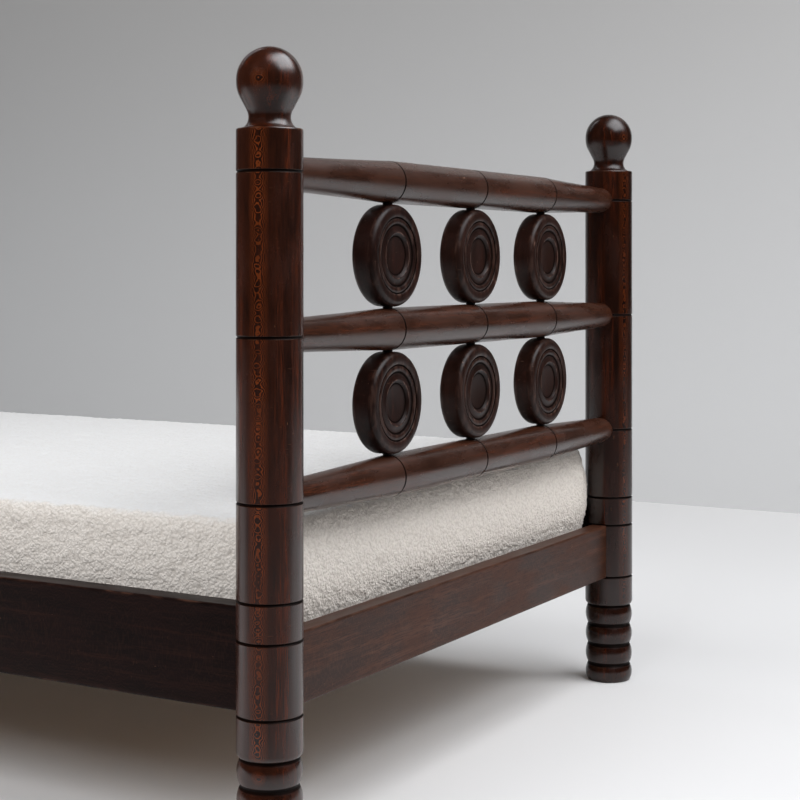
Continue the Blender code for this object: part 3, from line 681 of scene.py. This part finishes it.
# %% Turn the rails
RAIL_RADIUS = 0.0255
RAIL_END_RADIUS = 0.0186
RAIL_SEAT = 0.010
RAIL_GROOVE_WIDTH = 0.0026
RAIL_GROOVE_DEPTH = 0.0018
RAIL_GROOVE_CUT = 0.0003
RAIL_WAX_AND_SHADE_REACH = RAIL_GROOVE_WIDTH * 0.85
RAIL_GRAIN_TURN = 2.1
RAIL_GRAIN_STEP = 1.3
RAIL_GRAIN_END = 5
RAIL_STEPS = 64
TAPER_POINTS = 10
TAPER_POWER = 0.85
COLUMNS = {column: middle(f"dowel_right_{column}").y for column in ("front", "centre", "back")}
ROUNDEL_SPACING = COLUMNS["back"]


def rail_outline():
    """Outline of a rail from its +Y end to its -Y end."""
    tip = HALF_WIDTH - POST_RADIUS + RAIL_SEAT
    start = ROUNDEL_SPACING + RAIL_GROOVE_WIDTH
    taper = []
    for step in range(TAPER_POINTS + 1):
        share = step / TAPER_POINTS
        fall = share ** TAPER_POWER
        taper.append((RAIL_RADIUS + (RAIL_END_RADIUS - RAIL_RADIUS) * fall,
                      start + (HALF_WIDTH - POST_RADIUS - start) * share, 0.0))
    upper = [(0, tip, 0), (RAIL_END_RADIUS, tip, 0)] + taper[::-1][:-1]
    upper += groove(ROUNDEL_SPACING, RAIL_RADIUS, RAIL_GROOVE_WIDTH, RAIL_GROOVE_DEPTH, RAIL_GROOVE_CUT)
    centre = groove(0, RAIL_RADIUS, RAIL_GROOVE_WIDTH, RAIL_GROOVE_DEPTH, RAIL_GROOVE_CUT)
    lower = [(radius, -height, cut) for radius, height, cut in reversed(upper)]
    return eased(upper + centre + lower)


for end, side in ENDS.items():
    for index, (level, height) in enumerate(RAIL_HEIGHTS.items()):
        node = f"rail_{end}_{level}"
        rail = turned_piece(f"turned_{node}", rail_outline(), RAIL_STEPS, rail_wood,
                            (side * HALF_LENGTH, 0, height), lay=(radians(-90), 0, 0),
                            grain_lay=(0, 0, RAIL_GRAIN_TURN * index + side),
                            grain_shift=(0, 0, RAIL_GRAIN_STEP * index + RAIL_GRAIN_END * side),
                            wax_and_shade_reach=RAIL_WAX_AND_SHADE_REACH)
        dress(rail, "rail_wood", node)
print("rails:", len(ENDS) * len(RAIL_HEIGHTS), "of", len(rail.data.polygons), "faces")

# %% [markdown]
# ## Roundels and dowels
#
# A roundel is faceplate turning: a full round rim, a fine cut, a bead, a shallow cove that climbs to a
# sharp lip, and a dished centre behind it. Both faces are alike. Each hangs between two rails on a dowel
# that just shows.

# %% Turn the roundels
ROUNDEL_RADIUS = 0.061
ROUNDEL_HALF = 0.0156
RIM_ROUND = 0.0075
RIM_WIDTH = 0.0155
BEAD_WIDTH = 0.0086
COVE_WIDTH = 0.0092
WELL_WALL = 0.0045
VALLEY_DEPTH = 0.0025
FACE_BEAD_DEPTH = 0.0010
COVE_DEPTH = 0.0028
LIP_DEPTH = 0.0012
WELL_DEPTH = 0.0047
DISH_DEPTH = 0.0057
WELL_CUT = 0.0006
LIP_CUT = 0.0009
BEAD_CUT = 0.0004
SHOULDER_RUN = 0.0022
SHOULDER_DROP = 0.0004
ROUNDEL_STEPS = 96


def curve_points(start, middle_point, end, steps):
    """A smooth curve from start to end that passes near the middle point, without its last point."""
    shares = [step / steps for step in range(steps)]
    bend = [2 * middle_point[axis] - (start[axis] + end[axis]) / 2 for axis in (0, 1)]
    return [tuple((1 - s) ** 2 * start[axis] + 2 * s * (1 - s) * bend[axis] + s * s * end[axis]
                  for axis in (0, 1)) for s in shares]


def roundel_face():
    """One face of a roundel from its centre to the middle of its rim."""
    valley = ROUNDEL_RADIUS - RIM_WIDTH
    cove = valley - BEAD_WIDTH
    lip = cove - COVE_WIDTH
    well = lip - WELL_WALL
    depths = {"dish": DISH_DEPTH, "well": WELL_DEPTH, "lip": LIP_DEPTH, "cove": COVE_DEPTH,
              "bead": FACE_BEAD_DEPTH, "valley": VALLEY_DEPTH}
    deep = {name: ROUNDEL_HALF - depth for name, depth in depths.items()}
    dish = [(well * share, deep["dish"] + (deep["well"] - deep["dish"]) * share ** 2, 0.0)
            for share in (0, 0.2, 0.4, 0.6, 0.8)]
    hollow = curve_points((lip, deep["lip"]), (lip + COVE_WIDTH * 0.55, deep["cove"]),
                          (cove, deep["cove"]), 8)
    bead = curve_points((cove, deep["cove"]), (cove + BEAD_WIDTH / 2, deep["bead"]),
                        (valley, deep["valley"]), 10)
    points = dish + [(well, deep["well"], WELL_CUT), (*hollow[0], LIP_CUT)]
    points += [(*point, 0.0) for point in hollow[1:]] + [(*bead[0], BEAD_CUT)]
    points += [(*point, 0.0) for point in bead[1:]] + [(valley, deep["valley"], BEAD_CUT)]
    rim = arc((ROUNDEL_RADIUS - RIM_ROUND, ROUNDEL_HALF - RIM_ROUND), RIM_ROUND, 90, 0, 14)
    shoulder = curve_points((valley, deep["valley"]), (valley + SHOULDER_RUN, ROUNDEL_HALF - SHOULDER_DROP),
                            rim[0][:2], 6)
    return points + [(*point, 0.0) for point in shoulder[1:]] + rim


def roundel_outline():
    """Both faces and the rim between them."""
    face = roundel_face()
    return eased(face + [(radius, -height, cut) for radius, height, cut in reversed(face)])


for end, side in ENDS.items():
    for row, (upper, lower) in {"upper": ("top", "middle"), "lower": ("middle", "bottom")}.items():
        height = (RAIL_HEIGHTS[upper] + RAIL_HEIGHTS[lower]) / 2
        for column, y in COLUMNS.items():
            node = f"roundel_{end}_{row}_{column}"
            roundel = turned_piece(f"turned_{node}", roundel_outline(), ROUNDEL_STEPS, roundel_wood,
                                   (side * HALF_LENGTH, y, height), lay=(0, radians(90), 0),
                                   grain_lay=(0, radians(-90), 0),
                                   grain_shift=(7 * y + side, 3 * height, 5 * y))
            dress(roundel, "roundel_wood", node)
print("roundel outline:", len(roundel_outline()), "points,", len(roundel.data.polygons), "faces each")

# %% Turn the dowels
DOWEL_STEPS = 32
DOWEL_CUT = 0.001
for end in ENDS:
    for column in COLUMNS:
        node = f"dowel_{end}_{column}"
        low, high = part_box(node)
        radius = (high.x - low.x) / 2
        rod = eased([(0, high.z, 0), (radius, high.z, DOWEL_CUT), (radius, low.z, DOWEL_CUT), (0, low.z, 0)])
        place = middle(node)
        dowel = turned_piece(f"turned_{node}", rod, DOWEL_STEPS, roundel_wood, (place.x, place.y, 0))
        dress(dowel, "dowel_wood", node)
print("dowels:", len(ENDS) * len(COLUMNS))

# %% [markdown]
# ## Boards
#
# The end and side boards are planed stock with softened edges. A box with a bevel would do, but drawing the
# section as an outline gives the edges the same wear attribute as the turned pieces, so the stain rubs off
# there too. The section is swept along the board in steps, and its long grain runs with it.

# %% Sweep a board
BOARD_ROUND = 0.0022
SLAT_ROUND = 0.004
LEDGER_ROUND = 0.002
BOARD_STEPS = 24
SHARP_ANGLE = 50
HOUSING_DEPTH = 0.012


def board_section(width, height, cut):
    """Closed section of a board about its middle, as points with wear and grime."""
    x, z = width / 2, height / 2
    corners = [(0, z, 0), (x, z, cut), (x, -z, cut), (-x, -z, cut), (-x, z, cut), (0, z, 0)]
    return outline_mesh("board_section", eased(corners))


def planed_board(name, low, high, along, finish, cut=BOARD_ROUND, shift=0.0):
    """A board between two corners of a box, its grain along axis 0 or 1."""
    across = 1 - along
    width, height = high[across] - low[across], high[2] - low[2]
    section = board_section(width, height, cut)
    ring = [vert.co for vert in section.vertices][:-1]
    wear = [item.value for item in section.attributes["worn"].data][:-1]
    shape = bmesh.new()
    worn = shape.verts.layers.float.new("worn")
    grain = shape.verts.layers.float_vector.new("grain")
    rows = []
    for step in range(BOARD_STEPS + 1):
        run = low[along] + (high[along] - low[along]) * step / BOARD_STEPS
        row = []
        for point, amount in zip(ring, wear):
            place = [0.0, 0.0, (low[2] + high[2]) / 2 + point.z]
            place[along] = run
            place[across] = (low[across] + high[across]) / 2 + point.x
            vert = shape.verts.new(place)
            vert[worn] = amount
            vert[grain] = (point.x + shift, point.z, run + shift)
            row.append(vert)
        rows.append(row)
    for first, second in zip(rows, rows[1:]):
        for index in range(len(ring)):
            shape.faces.new((first[index - 1], first[index], second[index], second[index - 1]))
    shape.faces.new(rows[0])
    shape.faces.new(rows[-1])
    bmesh.ops.recalc_face_normals(shape, faces=shape.faces)
    mesh = bpy.data.meshes.new(name)
    shape.to_mesh(mesh)
    shape.free()
    mesh.shade_smooth()
    mesh.set_sharp_from_angle(angle=radians(SHARP_ANGLE))
    mesh.materials.append(finish)
    board = bpy.data.objects.new(name, mesh)
    bpy.context.scene.collection.objects.link(board)
    return board


inside = POST_RADIUS - HOUSING_DEPTH
for end, side in ENDS.items():
    low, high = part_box(f"end_board_{end}")
    low.y, high.y = -HALF_WIDTH + inside, HALF_WIDTH - inside
    board = planed_board(f"planed_end_board_{end}", low, high, 1, end_board_wood, shift=side)
    dress(board, "board_wood", f"end_board_{end}")
for face, side in FACES.items():
    low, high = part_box(f"side_board_{face}")
    board = planed_board(f"planed_side_board_{face}", low, high, 0, side_board_wood, shift=2 + side)
    dress(board, "board_wood", f"side_board_{face}")
print("boards:", len(ENDS) + len(FACES))

# %% [markdown]
# ## Slats, ledgers and their screws
#
# Under the mattress twelve pale slats lie on a ledger strip at each side, screwed down near their ends.
# They are the same piece again and again, so Geometry Nodes sets one slat, and one screw, on a row of
# points.

# %% Pale wood


def pale_wood(name, stretch):
    """Unfinished pale wood whose grain runs along the axis with the smallest stretch."""
    material, tree, shader = new_finish(name)
    place = add_node(tree, "ShaderNodeTexCoord").outputs["Object"]
    fibre = noise(tree, place, tuple(420 * share for share in stretch), detail=3.0)
    bands = noise(tree, place, tuple(60 * share for share in stretch), detail=2.0, distortion=0.6)
    colour = mixed(tree, eased_step(tree, bands, 0.3, 0.7), (0.46, 0.30, 0.17, 1), (0.36, 0.22, 0.115, 1))
    colour = mixed(tree, eased_step(tree, fibre, 0.52, 0.75, 0.0, 0.5), colour, (0.24, 0.14, 0.07, 1))
    tree.links.new(colour, shader.inputs["Base Color"])
    tree.links.new(eased_step(tree, fibre, 0.3, 0.7, 0.55, 0.75), shader.inputs["Roughness"])
    bump = add_node(tree, "ShaderNodeBump", {"Height": fibre, "Strength": 0.3, "Distance": BUMP_DEPTH})
    tree.links.new(bump.outputs[0], shader.inputs["Normal"])
    return material


slat_wood = pale_wood("slat_wood", (1.0, 0.03, 1.0))
ledger_wood = pale_wood("ledger_wood", (0.03, 1.0, 1.0))


def brushed_steel(name):
    """Dull plated steel with fine brushing."""
    material, tree, shader = new_finish(name)
    place = add_node(tree, "ShaderNodeTexCoord").outputs["Object"]
    brush = noise(tree, place, (1500, 1500, 60), detail=2.0)
    shader.inputs["Metallic"].default_value = 1.0
    colour = mixed(tree, brush, (0.38, 0.37, 0.35, 1), (0.52, 0.51, 0.49, 1))
    tree.links.new(colour, shader.inputs["Base Color"])
    tree.links.new(eased_step(tree, brush, 0.3, 0.7, 0.30, 0.46), shader.inputs["Roughness"])
    return material


hook_steel = brushed_steel("hook_steel")
for end in ENDS:
    for face in FACES:
        for plate in ("strike_plate", "hook_plate"):
            steel_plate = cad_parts[f"{plate}_{end}_{face}"]
            steel_plate.data.materials.clear()
            steel_plate.data.materials.append(hook_steel)
print("finishes:", slat_wood.name, ledger_wood.name, hook_steel.name)

# %% Rows of copies


def row_tree():
    """Set copies of a mesh on a row of points."""
    tree, given, result = geometry_tree("row", {"Count": "Int", "Start": "Vector", "Step": "Vector",
                                                "Finish": "Material"})
    line = add_node(tree, "GeometryNodeMeshLine", {"Count": given["Count"], "Start Location": given["Start"],
                                                   "Offset": given["Step"]}, mode="OFFSET")
    copies = add_node(tree, "GeometryNodeInstanceOnPoints", {"Points": line.outputs[0],
                                                             "Instance": given["Geometry"]})
    coat(tree, copies.outputs[0], given, result)
    return tree


ROW = row_tree()
SLATS = sorted(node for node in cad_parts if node.startswith("slat_"))
first_low, first_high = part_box(SLATS[0])
slat_step = (middle(SLATS[-1]) - middle(SLATS[0])) / (len(SLATS) - 1)
one_slat = planed_board("one_slat", first_low, first_high, 1, slat_wood, cut=SLAT_ROUND)
slats = made_by(ROW, one_slat.data, "slats", {"Count": len(SLATS), "Start": (0, 0, 0),
                                             "Step": tuple(slat_step), "Finish": slat_wood})
bpy.data.objects.remove(one_slat)
dress(slats, "slat_wood", *SLATS)
for face in FACES:
    low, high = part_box(f"ledger_{face}")
    ledger = planed_board(f"planed_ledger_{face}", low, high, 0, ledger_wood, cut=LEDGER_ROUND)
    dress(ledger, "slat_wood", f"ledger_{face}")
print("slats:", len(SLATS), "ledgers:", len(FACES))

# %% Screws
SCREW_RADIUS = 0.0045
SCREW_PROUD = 0.0003
SCREW_SUNK = 0.0040
SOCKET_RADIUS = 0.0016
SOCKET_DEPTH = 0.0014
SOCKET_CUT = 0.0002
SCREW_CUT = 0.0003
SCREW_STEPS = 24
LEDGER_SCREWS = 9
LEDGER_SCREW_INSET = 0.08


def screw_row(name, count, start, step, lay):
    """A row of sunk screws with a round socket, their heads facing up before the lay."""
    head = eased([(0, -SOCKET_DEPTH, 0), (SOCKET_RADIUS, -SOCKET_DEPTH, SOCKET_CUT),
                  (SOCKET_RADIUS, SCREW_PROUD, SOCKET_CUT), (SCREW_RADIUS, SCREW_PROUD, SCREW_CUT),
                  (SOCKET_RADIUS, -SCREW_SUNK, SCREW_CUT), (0, -SCREW_SUNK, 0)])
    one_screw = turned_piece("one_screw", head, SCREW_STEPS, hook_steel, (0, 0, 0), lay)
    row = made_by(ROW, one_screw.data, name, {"Count": count, "Start": start, "Step": step,
                                              "Finish": hook_steel})
    bpy.data.objects.remove(one_screw)
    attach(row, FRAME_BODY)
    return row


for face, side in FACES.items():
    ledger = middle(f"ledger_{face}")
    low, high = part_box(f"ledger_{face}")
    first_screw = (middle(SLATS[0]).x, ledger.y, first_high.z)
    screw_row(f"slat_screws_{face}", len(SLATS), first_screw, tuple(slat_step), (0, 0, 0))
    spacing = (high.x - low.x - 2 * LEDGER_SCREW_INSET) / (LEDGER_SCREWS - 1)
    inner = low.y if side > 0 else high.y
    first_screw = (low.x + LEDGER_SCREW_INSET, inner, ledger.z)
    row = screw_row(f"ledger_screws_{face}", LEDGER_SCREWS, first_screw, (spacing, 0, 0),
                    (radians(90 * side), 0, 0))
print("screws:", 2 * len(SLATS) + 2 * LEDGER_SCREWS, "last row", len(row.data.polygons), "faces")

# %% [markdown]
# ## Mattress
#
# The mattress is a foam slab in a thick boucle cover: crowned, soft at every edge, and fullest half way up
# its sides. A rounded block is voxel remeshed and then blown up gently as cloth, which gives the edges the
# uneven fullness of a stuffed cover. The nap comes last, as real bumps a few millimetres across.

# %% Boucle cover
NAP_RELIEF = 0.0025


def boucle(name):
    """Cream looped yarn: pale loops with painted shade in the gaps between them, and painted light by facing:
    paler, warmer sides and a greyer top.
    """
    material, tree, shader = new_finish(name)
    place = add_node(tree, "ShaderNodeTexCoord").outputs["Object"]
    wobble = add_node(tree, "ShaderNodeTexNoise", {"Vector": place, "Scale": 140.0, "Detail": 2.0})
    bent = add_node(tree, "ShaderNodeVectorMath", {0: wobble.outputs["Color"], 1: (0.5, 0.5, 0.5)},
                    operation="SUBTRACT")
    bent = add_node(tree, "ShaderNodeVectorMath", {0: bent.outputs[0], "Scale": 0.006}, operation="SCALE")
    place = add_node(tree, "ShaderNodeVectorMath", {0: place, 1: bent.outputs[0]}, operation="ADD").outputs[0]
    loops = add_node(tree, "ShaderNodeTexVoronoi", {"Vector": place, "Scale": 260.0, "Smoothness": 0.3},
                     feature="SMOOTH_F1")
    yarn = add_node(tree, "ShaderNodeTexNoise", {"Vector": place, "Scale": 900.0, "Detail": 2.0})
    # Painted shade: the gaps between loops are darkened, more on the sides than on the top.
    gap = eased_step(tree, loops.outputs["Distance"], 0.35, 0.80)
    normal = add_node(tree, "ShaderNodeNewGeometry").outputs["Normal"]
    upward = add_node(tree, "ShaderNodeSeparateXYZ", {0: normal}).outputs["Z"]
    # Painted light: the top is greyer and darker, the sides paler and warmer, by which way the cover faces.
    cream_painted_by_facing = mixed(tree, eased_step(tree, upward, 0.35, 0.95), (0.86, 0.79, 0.715, 1), (0.68, 0.668, 0.653, 1))
    nap = eased_step(tree, upward, 0.35, 0.95, 1.0, 0.3)
    shaded = maths(tree, "MULTIPLY", maths(tree, "MULTIPLY", gap, nap), 0.4)
    colour = mixed(tree, shaded, cream_painted_by_facing, (0.58, 0.51, 0.44, 1))
    tree.links.new(colour, shader.inputs["Base Color"])
    shader.inputs["Roughness"].default_value = 0.95
    shader.inputs["Specular IOR Level"].default_value = 0.1
    relief = maths(tree, "ADD", maths(tree, "MULTIPLY", loops.outputs["Distance"], -1.0),
                   maths(tree, "MULTIPLY", yarn.outputs[0], 0.35))
    strength = maths(tree, "MULTIPLY", nap, 0.65)
    bump = add_node(tree, "ShaderNodeBump", {"Height": relief, "Strength": strength, "Distance": NAP_RELIEF})
    tree.links.new(bump.outputs[0], shader.inputs["Normal"])
    return material


boucle_cover = boucle("mattress_boucle")

# %% Mattress slab
mattress_low, mattress_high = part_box("mattress")
SLAB_INSET = 0.002
SLAB_VOXEL = 0.009
EDGE_ROUND = 0.014
CORNER_ROUND = 0.020
CROWN = 0.002
END_BULGE = 0.013
SIDE_BULGE = 0.005
SIM_FRAMES = 20
SIM_REACH = 0.002
UNDERSIDE = 0.004
CLOTH_STIFFNESS = 30
CLOTH_PRESSURE = 4.0
LOOP_DEPTH = 0.0013
WAVE_DEPTH = 0.0016


def slab_ring(inset, height, bulge):
    """One level of the slab: a rounded rectangle drawn in by an inset, bulging by a share."""
    half_x = (mattress_high.x - mattress_low.x) / 2 - inset + END_BULGE * bulge
    half_y = (mattress_high.y - mattress_low.y) / 2 - inset + SIDE_BULGE * bulge
    corner = CORNER_ROUND - inset + SLAB_INSET
    points = []
    for quarter, (side_x, side_y) in enumerate(((1, 1), (-1, 1), (-1, -1), (1, -1))):
        for step in range(9):
            turn = pi / 2 * (quarter + step / 8)
            points.append((side_x * (half_x - corner) + corner * cos(turn),
                           side_y * (half_y - corner) + corner * sin(turn), height))
    return points


def mattress_slab():
    """A crowned slab with soft edges and bulging ends, as a closed mesh to remesh."""
    bottom, top = mattress_low.z, mattress_high.z - SLAB_INSET - CROWN
    levels = []
    for step in range(7):
        turn = pi / 2 * step / 6
        levels.append((SLAB_INSET + EDGE_ROUND * (1 - sin(turn)), bottom + EDGE_ROUND * (1 - cos(turn))))
    middle_levels = [(SLAB_INSET, bottom + (top - bottom) * share) for share in (0.35, 0.5, 0.65)]
    levels += middle_levels + [(inset, top - (height - bottom)) for inset, height in reversed(levels)]
    shape = bmesh.new()
    rings = []
    for inset, height in levels:
        bulge = sin(pi * (height - bottom) / (top - bottom))
        rings.append([shape.verts.new(point) for point in slab_ring(inset, height, bulge)])
    for share, rise in ((0.75, 0.6), (0.4, 1.0)):
        edge = slab_ring(levels[-1][0], top + CROWN * rise, 0)
        rings.append([shape.verts.new((x * share, y * share, z)) for x, y, z in edge])
    for lower, upper in zip(rings, rings[1:]):
        for index in range(len(lower)):
            shape.faces.new((lower[index - 1], lower[index], upper[index], upper[index - 1]))
    shape.faces.new(rings[0])
    shape.faces.new(rings[-1])
    bmesh.ops.recalc_face_normals(shape, faces=shape.faces)
    mesh = bpy.data.meshes.new("mattress_slab")
    shape.to_mesh(mesh)
    shape.free()
    return mesh


# %% Blow up the cover


def applied(piece):
    """Replace a piece's mesh by what its modifiers make of it."""
    graph = bpy.context.evaluated_depsgraph_get()
    mesh = bpy.data.meshes.new_from_object(piece.evaluated_get(graph))
    piece.modifiers.clear()
    piece.data = mesh


def remeshed(piece, voxel):
    """Even out a piece's faces."""
    modifier = piece.modifiers.new("remesh", "REMESH")
    modifier.mode = "VOXEL"
    modifier.voxel_size = voxel
    applied(piece)


def blown_up(piece):
    """Swell a piece as pressurised cloth, hold its flat underside, and cap how far any point moves."""
    start = [vert.co.copy() for vert in piece.data.vertices]
    under = piece.vertex_groups.new(name="under")
    held = [index for index, point in enumerate(start) if point.z < mattress_low.z + UNDERSIDE]
    under.add(held, 1.0, "REPLACE")
    cloth = piece.modifiers.new("cloth", "CLOTH")
    cloth.settings.quality = 3
    cloth.settings.tension_stiffness = CLOTH_STIFFNESS
    cloth.settings.compression_stiffness = CLOTH_STIFFNESS
    cloth.settings.use_pressure = True
    cloth.settings.uniform_pressure_force = CLOTH_PRESSURE
    cloth.settings.effector_weights.gravity = 0.0
    cloth.settings.vertex_group_mass = "under"
    scene = bpy.context.scene
    for number in range(1, SIM_FRAMES + 1):
        scene.frame_set(number)
    applied(piece)
    scene.frame_set(1)
    piece.vertex_groups.clear()
    for vert, origin in zip(piece.data.vertices, start):
        move = vert.co - origin
        if move.length > SIM_REACH:
            move *= SIM_REACH / move.length
        vert.co = origin + move


mattress = bpy.data.objects.new("boucle_mattress", mattress_slab())
bpy.context.scene.collection.objects.link(mattress)
remeshed(mattress, SLAB_VOXEL)
blown_up(mattress)
subdivision = mattress.modifiers.new("subdivision", "SUBSURF")
subdivision.levels = 1
subdivision.render_levels = 1
applied(mattress)
print("mattress cover:", len(mattress.data.polygons), "faces")

# %% Nap of the cover


def nap_tree():
    """Push points of the cover in and out along their normals, in loops and in soft waves."""
    tree, given, result = geometry_tree("nap", {"Loop Depth": "Float", "Wave Depth": "Float", "Seed": "Int",
                                                "Finish": "Material"})
    position = add_node(tree, "GeometryNodeInputPosition").outputs[0]
    normal = add_node(tree, "GeometryNodeInputNormal").outputs[0]
    loop = add_node(tree, "FunctionNodeRandomValue", {"Min": -1.0, "Max": 1.0, "Seed": given["Seed"]},
                    data_type="FLOAT")
    wave = add_node(tree, "ShaderNodeTexNoise", {"Vector": position, "Scale": 26.0, "Detail": 1.0}).outputs[0]
    push = maths(tree, "ADD", maths(tree, "MULTIPLY", loop.outputs[1], given["Loop Depth"]),
                 maths(tree, "MULTIPLY", maths(tree, "SUBTRACT", wave, 0.5), given["Wave Depth"]))
    offset = add_node(tree, "ShaderNodeVectorMath", {0: normal, "Scale": push}, operation="SCALE").outputs[0]
    moved = add_node(tree, "GeometryNodeSetPosition", {"Geometry": given["Geometry"], "Offset": offset})
    smooth = add_node(tree, "GeometryNodeSetShadeSmooth", {"Geometry": moved.outputs[0]})
    coat(tree, smooth.outputs[0], given, result)
    return tree


napped = made_by(nap_tree(), mattress.data, "mattress_cover", {"Loop Depth": LOOP_DEPTH,
                                                              "Wave Depth": WAVE_DEPTH, "Seed": 4,
                                                              "Finish": boucle_cover})
bpy.data.objects.remove(mattress)
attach(napped, MATTRESS_BODY)
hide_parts("mattress")
print("mattress:", len(napped.data.polygons), "faces")
